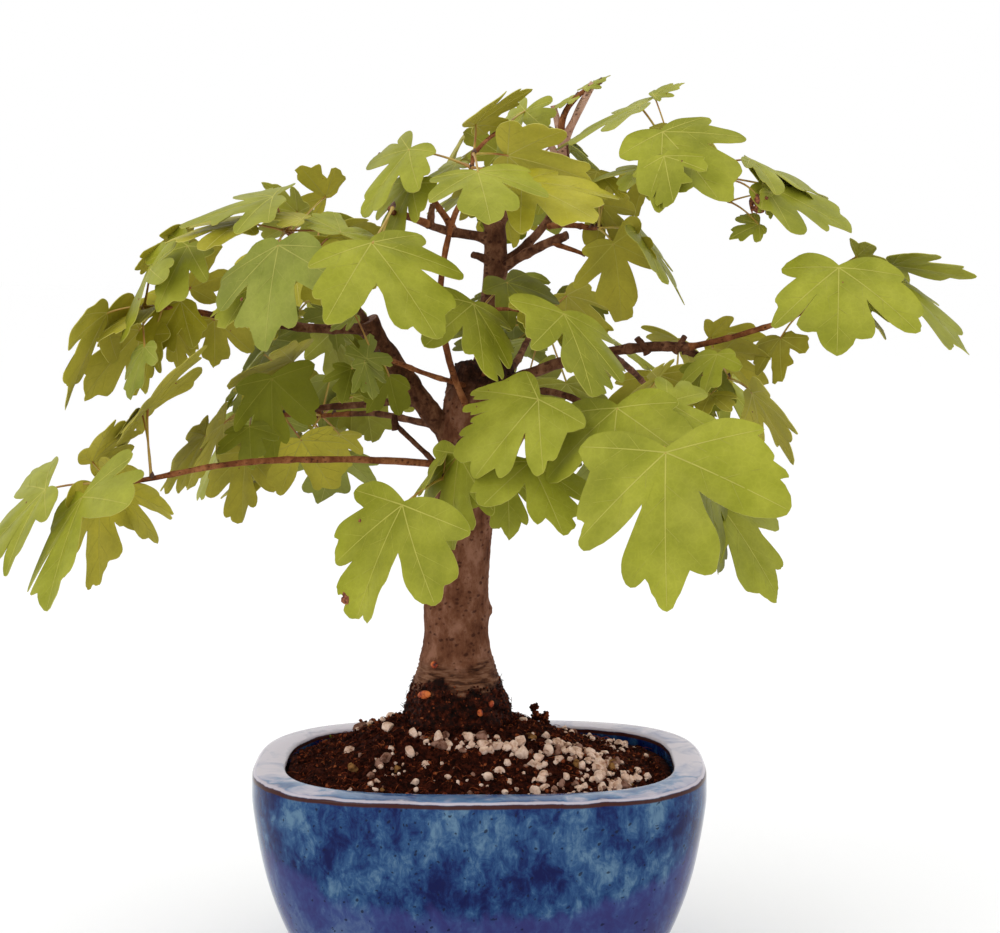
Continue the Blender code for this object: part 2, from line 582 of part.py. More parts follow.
class Grower:
    """Grows one mass: its stem, twigs, stalks and leaves, before they are fused."""

    def __init__(self, mass, bearer, trees):
        self.mass = mass
        self.trees = trees
        self.pieces = bpy.data.collections.new(mass.name + "_pieces")
        bpy.context.scene.collection.children.link(self.pieces)
        before, tip = limb_points(bearer)[-2:]
        ahead = (tip - before).normalized()
        seat = tip + ahead * GAP
        neck = seat + ahead * STEM_NECK
        end = point(mass.stem_end)
        path = bend(neck, neck + ahead * (end - neck).length / 2, end, STEM_STEPS)
        self.joints = path[1:]
        mesh = tube_mesh("stem", [seat, *path], STEM_RADIUS, STEM_TIP, STEM_BEVEL)
        self.stem = bpy.data.objects.new(mass.name, mesh)
        bpy.context.scene.collection.objects.link(self.stem)
        self.leaves = []

    def add_piece(self, mesh):
        piece = bpy.data.objects.new("piece", mesh)
        self.pieces.objects.link(piece)
        return piece

    def nearest_joint(self, place):
        return min(self.joints, key=lambda joint: (joint - place).length)

    def reach(self, base):
        """The joint that a stalk to this leaf base starts from, after a twig if it is far."""
        joint = self.nearest_joint(base)
        gap = (base - joint).length
        if gap <= STALK_FAR:
            return joint, None
        return joint, joint.lerp(base, (gap - STALK_REST) / gap)

    def place_leaf(self, leaf, checked=True):
        """Add a leaf with its stalk, unless it leaves the space or touches a limb."""
        base = point((leaf.x, leaf.y, leaf.z))
        joint, fork = self.reach(base)
        foot = fork or joint
        outline = leaf_points(leaf)
        trees = [leaf_tree(leaf), stalk_tree(foot, base)]
        if fork:
            trees.append(stalk_tree(joint, fork))
        if not inside(outline, self.mass) or not clear_of(trees, self.trees):
            return False
        if checked and not clear_of(trees[:1], self.leaves):
            return False
        if fork:
            beyond = (fork - joint).normalized() * MM
            self.add_piece(stalk_mesh(joint - beyond, fork + beyond, TWIG_RADIUS, STALK_RADIUS))
            self.joints.append(fork)
        sunk = base.lerp(outline[0], STALK_SUNK)
        self.add_piece(stalk_mesh(foot, sunk, STALK_RADIUS, STALK_TIP))
        blade = self.add_piece(leaf_mesh(leaf))
        skin = blade.modifiers.new("thickness", "SOLIDIFY")
        skin.thickness = LEAF_THICK
        skin.offset = 0.0
        self.leaves.append(trees[0])
        return True

    def seeded_leaf(self, rng, number):
        """A leaf on a side of the stem chosen by the rule, a pair at each joint."""
        joint = self.joints[number // 2 % STEM_STEPS]
        forward = (self.joints[STEM_STEPS - 1] - self.joints[0]).normalized()
        turn = math.pi * (number % 2) + math.pi / 2 * (number // 2) + rng.uniform(-PAIR_SWING, PAIR_SWING)
        level = forward.orthogonal().normalized()
        side = level * math.cos(turn) + level.cross(forward) * math.sin(turn)
        out = (side + forward * rng.uniform(*LEAN_AHEAD) + Vector((0, 0, LEAN_UP))).normalized()
        base = joint + out * rng.uniform(*STALK_OUT) * MM
        facing = math.degrees(math.atan2(out.y, out.x)) + rng.uniform(-FACING_SWING, FACING_SWING)
        long = self.mass.size * rng.uniform(*SIZE_SHARE)
        return Leaf(*(base / MM), long, facing, rng.uniform(*RISE_RANGE), rng.uniform(-ROLL_SWING, ROLL_SWING))

    def fuse(self):
        """Join the stem, twigs, stalks and leaves into one solid."""
        join = self.stem.modifiers.new("fuse", "BOOLEAN")
        join.operation = "UNION"
        join.operand_type = "COLLECTION"
        join.collection = self.pieces
        join.solver = "MANIFOLD"
        apply_all(self.stem)
        for piece in list(self.pieces.objects):
            bpy.data.objects.remove(piece, do_unlink=True)
        bpy.data.collections.remove(self.pieces)
        return self.stem


def make_mass(mass, limb, trees, finish, collection):
    """One mass of foliage on the tip of its limb."""
    grower = Grower(mass, limb, trees)
    for leaf in mass.leaves:
        grower.place_leaf(leaf, checked=False)
    rng = random.Random(mass.seed)
    grown = 0
    for number in range(mass.more * LEAF_TRIES):
        if grown < mass.more and grower.place_leaf(grower.seeded_leaf(rng, number)):
            grown += 1
    fused = grower.fuse()
    mesh = fused.data
    bpy.data.objects.remove(fused, do_unlink=True)
    return add_object(mass.name, mesh, finish, collection)


def main():
    clear_scene()
    bonsai = bpy.data.collections.new("field_maple_bonsai")
    cutters = bpy.data.collections.new("cutters")
    for collection in (bonsai, cutters):
        bpy.context.scene.collection.children.link(collection)
    glaze = material("blue_glaze", GLAZE_HEX, 0.2)
    soil_finish = material("potting_soil", SOIL_HEX, 0.95)
    bark = material("bark", BARK_HEX, 0.85)
    young_bark = material("young_bark", YOUNG_BARK_HEX, 0.6)
    leaf_finish = material("leaves", LEAF_HEX, 0.5)

    solids = {"pot": make_pot(glaze, bonsai), "soil": make_soil(soil_finish, bonsai)}
    solids["trunk"] = make_trunk(bark, bonsai)
    for limb in LIMBS:
        finish = young_bark if limb.name.startswith(("shoot", "twig")) else bark
        solids[limb.name] = make_limb(limb, solids, finish, bonsai, cutters)
    limbs = {limb.name: limb for limb in LIMBS}
    for mass in MASSES:
        trees = [mesh_tree(solid) for solid in solids.values()]
        solids[mass.name] = make_mass(mass, limbs[mass.grows_from], trees, leaf_finish, bonsai)

    stand = bpy.data.objects.new("bonsai_origin", None)
    bonsai.objects.link(stand)
    for solid in solids.values():
        solid.parent = stand


main()
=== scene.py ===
"""Field maple bonsai in a blue glazed pot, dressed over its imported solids, in metres."""
import math
import random
from collections import namedtuple

import bpy
import numpy as np
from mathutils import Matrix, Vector, noise
from mathutils.bvhtree import BVHTree


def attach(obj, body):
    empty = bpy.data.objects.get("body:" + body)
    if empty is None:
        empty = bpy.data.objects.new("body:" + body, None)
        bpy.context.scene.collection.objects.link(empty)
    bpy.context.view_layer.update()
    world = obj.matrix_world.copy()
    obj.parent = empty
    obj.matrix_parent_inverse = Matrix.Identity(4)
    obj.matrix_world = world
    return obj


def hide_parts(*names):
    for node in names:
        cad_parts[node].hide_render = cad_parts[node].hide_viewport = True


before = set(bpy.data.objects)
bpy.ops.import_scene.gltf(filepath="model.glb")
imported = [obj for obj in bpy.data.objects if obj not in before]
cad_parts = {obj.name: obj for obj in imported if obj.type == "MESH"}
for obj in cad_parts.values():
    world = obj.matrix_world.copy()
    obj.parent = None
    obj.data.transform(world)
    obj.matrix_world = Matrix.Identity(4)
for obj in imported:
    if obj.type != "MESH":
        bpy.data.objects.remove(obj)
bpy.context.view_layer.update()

MM = 0.001

# The pot: a deep stoneware bowl on a rounded rectangle, pressed in a mould, with
# a thick flat lip turned inwards. It is dipped in a running cobalt glaze that
# breaks brown along the lip's edge; the foot it stands on is left bare.
POT_WIDTH = 209 * MM
POT_DEPTH = 162 * MM
POT_HEIGHT = 108 * MM
POT_LIP = 15 * MM
POT_WALL = 11 * MM
POT_FLOOR = 12 * MM
POT_SIDES = 128
RIM_ROUND = 3 * MM
LIP_ROUND = 1.6 * MM
LIP_CREST = 0.55
LIP_DEEP = 7 * MM
RIM_STEPS = 6
# The exponent of the rounded rectangle, on which 2 would be an ellipse.
POT_CORNER = 3.0
# Heights and half widths of the outside in mm, and the half width of the hollow's
# floor. The hollow keeps a wall's thickness inside the rows from INNER_FROM on.
POT_PROFILE = ((0, 68), (7, 69), (9, 72), (21, 82.5), (38, 91.5), (61, 99), (90, 104.1), (104, 104.5))
PROFILE_STEPS = 5
POT_FLOOR_HALF = 66
INNER_FROM = 4
# Made by hand, the walls swing a little from this height up.
POT_HAND = 0.35 * MM
HAND_FROM = 20 * MM
BARE_FOOT = 0.5 * MM


def between(start, end, lean, next_lean, t):
    """A smooth step from start to end at a share t, with its slope at either end."""
    return (start * (2 * t**3 - 3 * t**2 + 1) + end * (3 * t**2 - 2 * t**3)
            + lean * (t**3 - 2 * t**2 + t) + next_lean * (t**3 - t**2))


def spline(rows, steps):
    """Rows of values on a smooth line through the given rows."""
    rows = np.array(rows, float)
    slopes = np.gradient(rows, axis=0)
    t = np.linspace(0, 1, steps, endpoint=False)[:, None]
    parts = [between(*ends, t) for ends in zip(rows, rows[1:], slopes, slopes[1:])]
    return np.concatenate([*parts, rows[-1:]])


def corner_reach(turn):
    """How far the rounded rectangle reaches at a turn, against a circle's one."""
    return (abs(math.cos(turn)) ** POT_CORNER + abs(math.sin(turn)) ** POT_CORNER) ** (-1 / POT_CORNER)


def pot_size(height, half_width, inset=0.0):
    """A height and the two half widths of the pot there, moved in by an inset."""
    across = half_width * MM
    return height, across - inset, across * POT_DEPTH / POT_WIDTH - inset


def linear(hex_colour):
    """Turn an sRGB hex colour into linear values with full alpha."""
    channels = [int(hex_colour[i:i + 2], 16) / 255 for i in (0, 2, 4)]
    return [c / 12.92 if c <= 0.04045 else ((c + 0.055) / 1.055) ** 2.4 for c in channels] + [1.0]


def start_finish(name, colour, roughness, **sockets):
    """A finish with the fixed values of its shader, and the piece's own coordinates."""
    finish = bpy.data.materials.new(name)
    finish.use_nodes = True
    shader = finish.node_tree.nodes["Principled BSDF"]
    shader.inputs["Base Color"].default_value = linear(colour)
    shader.inputs["Roughness"].default_value = roughness
    for socket, value in sockets.items():
        shader.inputs[socket.replace("_", " ")].default_value = value
    place = finish.node_tree.nodes.new("ShaderNodeTexCoord").outputs["Object"]
    return finish, shader, place


def add_node(finish, kind, inputs, stops=(), **settings):
    """Add a node with its settings and colour stops, and link or set its inputs."""
    node = finish.node_tree.nodes.new(kind)
    for key, value in settings.items():
        setattr(node, key, value)
    for key, value in inputs.items():
        if isinstance(value, bpy.types.NodeSocket):
            finish.node_tree.links.new(value, node.inputs[key])
        else:
            node.inputs[key].default_value = value
    while stops and len(node.color_ramp.elements) < len(stops):
        node.color_ramp.elements.new(1.0)
    for number, (position, colour) in enumerate(stops):
        node.color_ramp.elements[number].position = position
        node.color_ramp.elements[number].color = linear(colour)
    return node.outputs[0]


def plug_in(finish, shader, **sockets):
    """Link outputs into the sockets of the shader."""
    for socket, output in sockets.items():
        finish.node_tree.links.new(output, shader.inputs[socket.replace("_", " ")])


bpy.ops.object.select_all(action="DESELECT")
bpy.ops.mesh.primitive_circle_add(vertices=POT_SIDES, radius=1.0, fill_type="NGON")
pot = bpy.context.object
pot.name = "pot_bowl"
rim_half = POT_PROFILE[-1][1]
pot_rings = [pot_size(height * MM, half_width) for height, half_width in spline(POT_PROFILE, PROFILE_STEPS)]
for step in range(1, RIM_STEPS + 1):
    turn = math.pi / 2 * step / RIM_STEPS
    pot_rings.append(pot_size(POT_HEIGHT - RIM_ROUND * (1 - math.sin(turn)), rim_half,
                              RIM_ROUND * (1 - math.cos(turn))))
pot_rings.append(pot_size(POT_HEIGHT + POT_HAND, rim_half, POT_LIP * LIP_CREST))
for step in range(RIM_STEPS):
    turn = math.pi / 2 * step / (RIM_STEPS - 1)
    pot_rings.append(pot_size(POT_HEIGHT - LIP_ROUND * (1 - math.cos(turn)), rim_half,
                              POT_LIP - LIP_ROUND * (1 - math.sin(turn))))
pot_rings.append(pot_size(POT_HEIGHT - LIP_DEEP, rim_half, POT_LIP))
for height, half_width in reversed(POT_PROFILE[INNER_FROM:-1]):
    pot_rings.append(pot_size(height * MM, half_width, POT_WALL))
pot_rings.append(pot_size(POT_FLOOR, POT_FLOOR_HALF))
for vertex in pot.data.vertices:
    turn = math.atan2(vertex.co.y, vertex.co.x)
    vertex.co.x *= corner_reach(turn) * pot_rings[0][1]
    vertex.co.y *= corner_reach(turn) * pot_rings[0][2]
bpy.ops.object.mode_set(mode="EDIT")
bpy.ops.mesh.select_all(action="SELECT")
for (low, wide, deep), (high, next_wide, next_deep) in zip(pot_rings, pot_rings[1:]):
    bpy.ops.mesh.extrude_region_move(TRANSFORM_OT_translate={"value": (0, 0, high - low)})
    bpy.ops.transform.resize(value=(next_wide / wide, next_deep / deep, 1), center_override=(0, 0, high))
bpy.ops.mesh.select_all(action="SELECT")
bpy.ops.mesh.normals_make_consistent(inside=False)
bpy.ops.object.mode_set(mode="OBJECT")
for vertex in pot.data.vertices:
    if vertex.co.z > HAND_FROM:
        sway = noise.noise(vertex.co * 14) * POT_HAND
        vertex.co += Vector((vertex.co.x, vertex.co.y, 0)).normalized() * sway
        vertex.co.z += noise.noise(vertex.co * 11) * POT_HAND

# Stoneware with a glossy cobalt glaze, fired so that it ran: deep cobalt with
# steel blue clouds 10 to 20 mm wide drawn out downwards, fine runs and dark pits.
# A violet zone low down, reaching higher at the sides, is a painted reflection of
# the white floor. The lip is glaze blue at the front and lilac white towards the
# sides and the back, a painted reflection of the white surround. Along its edge
# the glaze broke to a brown line, and a pale line just above it is a painted
# highlight on the rounded edge.
# Heights in metres: the upper edge of the painted violet reflection where it
# starts and is full, the lip's colour likewise, the brown line's middle, and how
# far above it the painted highlight line is.
VIOLET_REFLECTION_ZONE = (0.072, 0.066)
LIP_ZONE = (0.1083, 0.1090)
BROWN_LINE = 0.1069
HIGHLIGHT_ABOVE = 0.0014
glaze, shader, place = start_finish("cobalt_running_glaze", "1b3f78", 0.12, Specular_IOR_Level=0.14)
add_node(glaze, "ShaderNodeSeparateXYZ", {"Vector": place})
height = glaze.node_tree.nodes[-1].outputs["Z"]
right = glaze.node_tree.nodes[-1].outputs["X"]
back = glaze.node_tree.nodes[-1].outputs["Y"]
drawn = add_node(glaze, "ShaderNodeMapping", {"Vector": place, "Scale": (1.0, 1.0, 0.70)})
clouds = add_node(glaze, "ShaderNodeTexNoise", {"Vector": drawn, "Scale": 50.0, "Detail": 4.0,
                                                "Roughness": 0.55, "Distortion": 0.5})
tufts = add_node(glaze, "ShaderNodeTexNoise", {"Vector": drawn, "Scale": 170.0, "Detail": 8.0,
                                               "Roughness": 0.72, "Distortion": 0.6})
running = add_node(glaze, "ShaderNodeMapping", {"Vector": place, "Scale": (1.0, 1.0, 0.20)})
runs = add_node(glaze, "ShaderNodeTexNoise", {"Vector": running, "Scale": 420.0, "Detail": 5.0,
                                              "Roughness": 0.7})
run_swing = add_node(glaze, "ShaderNodeMath", {0: runs, 1: 0.5}, operation="SUBTRACT")
tuft_swing = add_node(glaze, "ShaderNodeMath", {0: tufts, 1: 0.5}, operation="SUBTRACT")
tufted = add_node(glaze, "ShaderNodeMath", {0: tuft_swing, 1: 0.85, 2: clouds}, operation="MULTIPLY_ADD")
mottle = add_node(glaze, "ShaderNodeMath", {0: run_swing, 1: 0.28, 2: tufted}, operation="MULTIPLY_ADD")
body_blue = add_node(glaze, "ShaderNodeValToRGB", {"Fac": mottle}, stops=(
    (0.32, "030f46"), (0.42, "0e265a"), (0.50, "1a3b6a"), (0.59, "2d507a"), (0.74, "597892")))
cloud_swing = add_node(glaze, "ShaderNodeMath", {0: clouds, 1: 0.030, 2: height}, operation="MULTIPLY_ADD")
rounding = add_node(glaze, "ShaderNodeMath", {0: right, 1: right}, operation="MULTIPLY")
arc = add_node(glaze, "ShaderNodeMath", {0: rounding, 1: -2.4, 2: cloud_swing}, operation="MULTIPLY_ADD")
# Painted reflection: violet mixed into the blue low down and higher at the sides stands for the white floor
# seen in the glaze.
violet_reflection_share = add_node(glaze, "ShaderNodeMapRange", {"Value": arc, "From Min": VIOLET_REFLECTION_ZONE[0],
                                                   "From Max": VIOLET_REFLECTION_ZONE[1], "To Max": 0.5})
blue_with_violet_reflection = add_node(glaze, "ShaderNodeMixRGB", {"Fac": violet_reflection_share, "Color1": body_blue,
                                                "Color2": linear("40407c")})
pit_place = add_node(glaze, "ShaderNodeMixRGB", {"Fac": 0.02, "Color1": place, "Color2": clouds})
pits = add_node(glaze, "ShaderNodeTexVoronoi", {"Vector": pit_place, "Scale": 240.0})
pit_size = add_node(glaze, "ShaderNodeMath", {0: runs, 1: 0.34}, operation="MULTIPLY")
pit_edge = add_node(glaze, "ShaderNodeMath", {0: pits, 1: pit_size}, operation="SUBTRACT")
pit_share = add_node(glaze, "ShaderNodeMapRange", {"Value": pit_edge, "From Min": 0.0, "From Max": -0.06,
                                                   "To Max": 0.8})
pitted = add_node(glaze, "ShaderNodeMixRGB", {"Fac": pit_share, "Color1": blue_with_violet_reflection,
                                              "Color2": linear("070c26")})
# Painted reflection: the lip goes from glaze blue at the front to lilac white towards the sides and the
# back, standing for the white surround seen in it.
lip_side_reflection = add_node(glaze, "ShaderNodeMath", {0: rounding, 1: 14.0, 2: clouds}, operation="MULTIPLY_ADD")
lip_reflection_share = add_node(glaze, "ShaderNodeMath", {0: back, 1: 1.9, 2: lip_side_reflection}, operation="MULTIPLY_ADD")
lip_glaze_and_reflection = add_node(glaze, "ShaderNodeValToRGB", {"Fac": lip_reflection_share}, stops=(
    (0.34, "31588c"), (0.45, "6483aa"), (0.53, "a8a9c0"), (0.66, "cfc7d2")))
edge_height = add_node(glaze, "ShaderNodeMath", {0: clouds, 1: 0.0020, 2: height}, operation="MULTIPLY_ADD")
lip_share = add_node(glaze, "ShaderNodeMapRange", {"Value": edge_height, "From Min": LIP_ZONE[0],
                                                   "From Max": LIP_ZONE[1]})
lipped = add_node(glaze, "ShaderNodeMixRGB", {"Fac": lip_share, "Color1": pitted, "Color2": lip_glaze_and_reflection})
from_line = add_node(glaze, "ShaderNodeMath", {0: edge_height, 1: BROWN_LINE}, operation="SUBTRACT")
line_gap = add_node(glaze, "ShaderNodeMath", {0: from_line}, operation="ABSOLUTE")
# Painted highlight: a pale lilac line just above the brown one stands for light caught on the lip's rounded
# edge.
highlight_gap = add_node(glaze, "ShaderNodeMath", {0: from_line, 1: HIGHLIGHT_ABOVE}, operation="SUBTRACT")
highlight_reach = add_node(glaze, "ShaderNodeMath", {0: highlight_gap}, operation="ABSOLUTE")
highlight_share = add_node(glaze, "ShaderNodeMapRange", {"Value": highlight_reach, "From Min": 0.0006,
                                                      "From Max": 0.0003, "To Max": 0.85})
highlighted = add_node(glaze, "ShaderNodeMixRGB", {"Fac": highlight_share, "Color1": lipped,
                                                  "Color2": linear("cfc6d0")})
line_share = add_node(glaze, "ShaderNodeMapRange", {"Value": line_gap, "From Min": 0.0011,
                                                    "From Max": 0.0006, "To Max": 0.95})
broken = add_node(glaze, "ShaderNodeMixRGB", {"Fac": line_share, "Color1": highlighted,
                                              "Color2": linear("401d10")})
ripple = add_node(glaze, "ShaderNodeBump", {"Strength": 0.06, "Distance": 0.0005, "Height": mottle})
plug_in(glaze, shader, Base_Color=broken, Normal=ripple)

# Bare fired stoneware, buff and dry, with 1 mm grog showing as darker specks.
bare_clay, shader, place = start_finish("bare_fired_stoneware", "a98d74", 0.85)
grog = add_node(bare_clay, "ShaderNodeTexNoise", {"Vector": place, "Scale": 900.0, "Detail": 2.0})
grog_colour = add_node(bare_clay, "ShaderNodeValToRGB", {"Fac": grog}, stops=(
    (0.40, "7d6551"), (0.55, "b29a80")))
grit_bump = add_node(bare_clay, "ShaderNodeBump", {"Strength": 0.3, "Distance": 0.0003, "Height": grog})
plug_in(bare_clay, shader, Base_Color=grog_colour, Normal=grit_bump)
pot.data.materials.append(glaze)
pot.data.materials.append(bare_clay)
for face in pot.data.polygons:
    face.material_index = 1 if face.center.z < BARE_FOOT else 0
bpy.ops.object.shade_smooth_by_angle(angle=math.radians(50))
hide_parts("pot")
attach(pot, "root")

# The soil: moist dark peat, firmed in by hand to just under the lip and heaped
# round the foot of the trunk. It is crumbly, and stands higher at the left.
SOIL_DROP = 7 * MM
SOIL_TOP = 123 * MM
SOIL_PLATEAU = 31 * MM
SOIL_HOLLOW = 1.3
SOIL_SIDES = 224
SOIL_RINGS = 58
SOIL_GAP = 0.3 * MM
SOIL_CORE = 14 * MM
SOIL_LEFT_HEAP = 6 * MM
HEAP_FROM = 10 * MM
HEAP_LONG = 80 * MM
TRUNK_RIGHT = -11 * MM
TRUNK_BACK = 8 * MM


def raise_column(name, sides, rows):
    """A closed column of rings one unit apart, ready to be shaped ring by ring."""
    bpy.ops.object.select_all(action="DESELECT")
    bpy.ops.mesh.primitive_circle_add(vertices=sides, radius=1.0, fill_type="NGON")
    piece = bpy.context.object
    piece.name = name
    bpy.ops.object.mode_set(mode="EDIT")
    bpy.ops.mesh.select_all(action="SELECT")
    for _ in range(rows - 1):
        bpy.ops.mesh.extrude_region_move(TRANSFORM_OT_translate={"value": (0, 0, 1)})
    bpy.ops.mesh.select_all(action="SELECT")
    bpy.ops.mesh.normals_make_consistent(inside=False)
    bpy.ops.object.mode_set(mode="OBJECT")
    return piece


def crumbled(place, scale, depth):
    """The rise of a crumbly surface at a place, with lumps of one over the scale."""
    lump = abs(noise.noise(place * scale)) + 0.5 * abs(noise.noise(place * scale * 2.3))
    return (0.45 - lump) * depth


def soil_height(x, y, share):
    """The height of the soil at a share of the way from the pot's lip to the trunk."""
    height = POT_HEIGHT - SOIL_DROP + (SOIL_TOP - POT_HEIGHT + SOIL_DROP) * min(1.0, share) ** SOIL_HOLLOW
    heap = SOIL_LEFT_HEAP * max(0.0, min(1.0, (HEAP_FROM - x) / HEAP_LONG)) * max(0.0, 1 - share)
    spot = Vector((x, y, 0))
    lumpy = crumbled(spot, 120, 3.0 * MM) + crumbled(spot + Vector((1, 2, 3)), 340, 2.0 * MM)
    return height + heap * (0.6 + noise.noise(spot * 40)) + lumpy


soil_walls = [pot_size(POT_FLOOR + SOIL_GAP, POT_FLOOR_HALF, SOIL_GAP)]
for height, half_width in POT_PROFILE[INNER_FROM:-1]:
    soil_walls.append(pot_size(height * MM, half_width, POT_WALL + SOIL_GAP))
soil_walls.append(pot_size(POT_HEIGHT - SOIL_DROP, rim_half, POT_LIP + SOIL_GAP))
soil = raise_column("soil_heap", SOIL_SIDES, len(soil_walls) + SOIL_RINGS)
for vertex in soil.data.vertices:
    turn = math.atan2(vertex.co.y, vertex.co.x)
    row = round(vertex.co.z)
    high, wide, deep = soil_walls[min(row, len(soil_walls) - 1)]
    edge = Vector((math.cos(turn) * wide, math.sin(turn) * deep, 0)) * corner_reach(turn)
    vertex.co = edge + Vector((0, 0, high))
    if row >= len(soil_walls):
        share = (row - len(soil_walls) + 1) / SOIL_RINGS
        middle = Vector((TRUNK_RIGHT, TRUNK_BACK, 0))
        inner = middle + (edge - middle).normalized() * SOIL_CORE
        spot = edge.lerp(inner, share)
        reached = (spot - edge).length / ((edge - middle).length - SOIL_PLATEAU)
        vertex.co = Vector((spot.x, spot.y, soil_height(spot.x, spot.y, reached)))

# Peat: matt, almost black brown with redder fibres, and lumps of 1 to 5 mm.
peat, shader, place = start_finish("moist_peat", "24110b", 1.0, Specular_IOR_Level=0.06)
lumps = add_node(peat, "ShaderNodeTexNoise", {"Vector": place, "Scale": 330.0, "Detail": 8.0,
                                              "Roughness": 0.74})
peat_colour = add_node(peat, "ShaderNodeValToRGB", {"Fac": lumps}, stops=(
    (0.36, "0e0402"), (0.47, "260d07"), (0.57, "421a0f"), (0.72, "64301c")))
crumb_bump = add_node(peat, "ShaderNodeBump", {"Strength": 1.0, "Distance": 0.0016, "Height": lumps})
plug_in(peat, shader, Base_Color=peat_colour, Normal=crumb_bump)
soil.data.materials.append(peat)
bpy.ops.object.shade_smooth_by_angle(angle=math.radians(60))
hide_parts("soil")
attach(soil, "root")

# Loose crumbs and root fibres of the peat, lying where they fell on the heap,
# with one clod at the back right of the trunk and some spilled on the lip.
CRUMBS = 5200
CRUMB_SIZE = (0.35 * MM, 1.5 * MM)
FIBRES = 700
FIBRE_LONG = (2, 8)
FIBRE_ARCH = (0.2, 1.8)
FIBRE_RADIUS = 0.13 * MM
FIBROUS_SHARE = 0.17
FOOT_CLEAR = 27 * MM
SOIL_REACH = 0.96
# Peat spilled on the lip, and moss, both at the back left: the middle and the
# spread of each, in mm.
SPILLED = 260
SPILL_RIGHT = (-42, 8)
SPILL_BACK = (63, 2.6)
SPILL_SIZE = (0.5 * MM, 1.9 * MM)
MOSS_TUFTS = 60
MOSS_RIGHT = (-70, 5)
MOSS_BACK = (50, 4)
# The clod's three arms, each from one end to the other, in mm.
CLOD_ARMS = (((16, 22, 118), (33, 24, 119)), ((26, 24, 118), (26, 25, 127)), ((30, 24, 119), (31, 24, 123)))
CLOD_CRUMBS = 44
CLOD_FIBROUS = 0.6
soil_rng = random.Random(5)


class Heap:
    """Collects small shapes of one kind, to be joined into one piece."""

    def __init__(self):
        self.points = []
        self.faces = []
        self.marks = []

    def put(self, points, faces, marks=0):
        """Add a shape, with the number of its finish or a list of one for each face."""
        start = len(self.points)
        self.points.extend(map(tuple, points))
        self.faces.extend(tuple(start + i for i in face) for face in faces)
        self.marks.extend([marks] * len(faces) if isinstance(marks, int) else marks)

    def join(self, name, finishes, slot, *nodes, smooth=60):
        """Make one piece of all the shapes, smooth up to an angle in degrees."""
        mesh = bpy.data.meshes.new(name)
        mesh.from_pydata(self.points, [], self.faces)
        for finish in finishes:
            mesh.materials.append(finish)
        mesh.polygons.foreach_set("material_index", self.marks)
        piece = bpy.data.objects.new(name, mesh)
        bpy.context.scene.collection.objects.link(piece)
        bpy.ops.object.select_all(action="DESELECT")
        piece.select_set(True)
        bpy.context.view_layer.objects.active = piece
        bpy.ops.object.shade_smooth_by_angle(angle=math.radians(smooth))
        if nodes:
            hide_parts(*nodes)
        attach(piece, "root")


def lump_shape(subdivisions):
    """Points and faces of a round lump one unit in radius."""
    bpy.ops.object.select_all(action="DESELECT")
    bpy.ops.mesh.primitive_ico_sphere_add(subdivisions=subdivisions, radius=1.0)
    lump = bpy.context.object
    points = np.array([vertex.co[:] for vertex in lump.data.vertices])
    faces = [tuple(face.vertices) for face in lump.data.polygons]
    bpy.data.objects.remove(lump, do_unlink=True)
    return points, faces


def broken_lump(points, rng, cuts, flat):
    """A lump turned at random, stretched, and cut flat on some of its sides."""
    spun = Vector((rng.gauss(0, 1), rng.gauss(0, 1), rng.gauss(0, 1))).normalized()
    turn = np.array(Vector((0, 0, 1)).rotation_difference(spun).to_matrix())
    shape = points * np.array([1.0, rng.uniform(0.7, 0.95), rng.uniform(0.55, 0.85)])
    shape = shape @ turn.T
    for _ in range(cuts):
        away = np.array(Vector((rng.gauss(0, 1), rng.gauss(0, 1), rng.gauss(0, 1))).normalized())
        beyond = np.maximum(shape @ away - rng.uniform(*flat), 0)
        shape = shape - beyond[:, None] * away
    return shape


def tube(path, radii, sides):
    """Points and faces of a closed tube along a path, a radius at each point of it."""
    path = np.array(path, float)
    radii = np.broadcast_to(np.array(radii, float), (len(path),))
    runs = np.gradient(path, axis=0)
    runs /= np.linalg.norm(runs, axis=1)[:, None]
    side = np.cross(runs[0], (0.0, 0.0, 1.0) if abs(runs[0][2]) < 0.9 else (0.0, 1.0, 0.0))
    turns = np.arange(sides) * math.tau / sides
    rings = []
    for spot, run, radius in zip(path, runs, radii):
        side = side - run * (side @ run)
        side /= np.linalg.norm(side)
        other = np.cross(run, side)
        rings.append(spot + radius * (np.cos(turns)[:, None] * side + np.sin(turns)[:, None] * other))
    faces = []
    for low in range(0, (len(path) - 1) * sides, sides):
        for i in range(sides):
            j = (i + 1) % sides
            faces.append((low + i, low + j, low + sides + j, low + sides + i))
    faces.append(tuple(range(sides))[::-1])
    faces.append(tuple(range((len(path) - 1) * sides, len(path) * sides)))
    return np.concatenate(rings), faces


def soil_spot(x, y):
    """The place on the soil's top above a point of the pot's plan."""
    turn = math.atan2(y / POT_DEPTH, x / POT_WIDTH)
    _, wide, deep = soil_walls[-1]
    edge = Vector((math.cos(turn) * wide, math.sin(turn) * deep, 0)) * corner_reach(turn)
    middle = Vector((TRUNK_RIGHT, TRUNK_BACK, 0))
    spot = Vector((x, y, 0))
    reached = 1 - ((spot - middle).length - SOIL_PLATEAU) / ((edge - middle).length - SOIL_PLATEAU)
    return Vector((x, y, soil_height(x, y, max(0.0, reached))))


def random_soil_spot(rng):
    """A random place on the soil, clear of the trunk's foot."""
    _, wide, deep = soil_walls[-1]
    while True:
        turn = rng.uniform(0, math.tau)
        out = math.sqrt(rng.random()) * SOIL_REACH * corner_reach(turn)
        x, y = out * wide * math.cos(turn), out * deep * math.sin(turn)
        if math.hypot(x - TRUNK_RIGHT, y - TRUNK_BACK) > FOOT_CLEAR:
            return soil_spot(x, y)


def small_crumb(spot, size):
    """Points and faces of one broken crumb at a place."""
    return broken_lump(small_lump, soil_rng, 2, (0.5, 0.9)) * size + np.array(spot), small_lump_faces


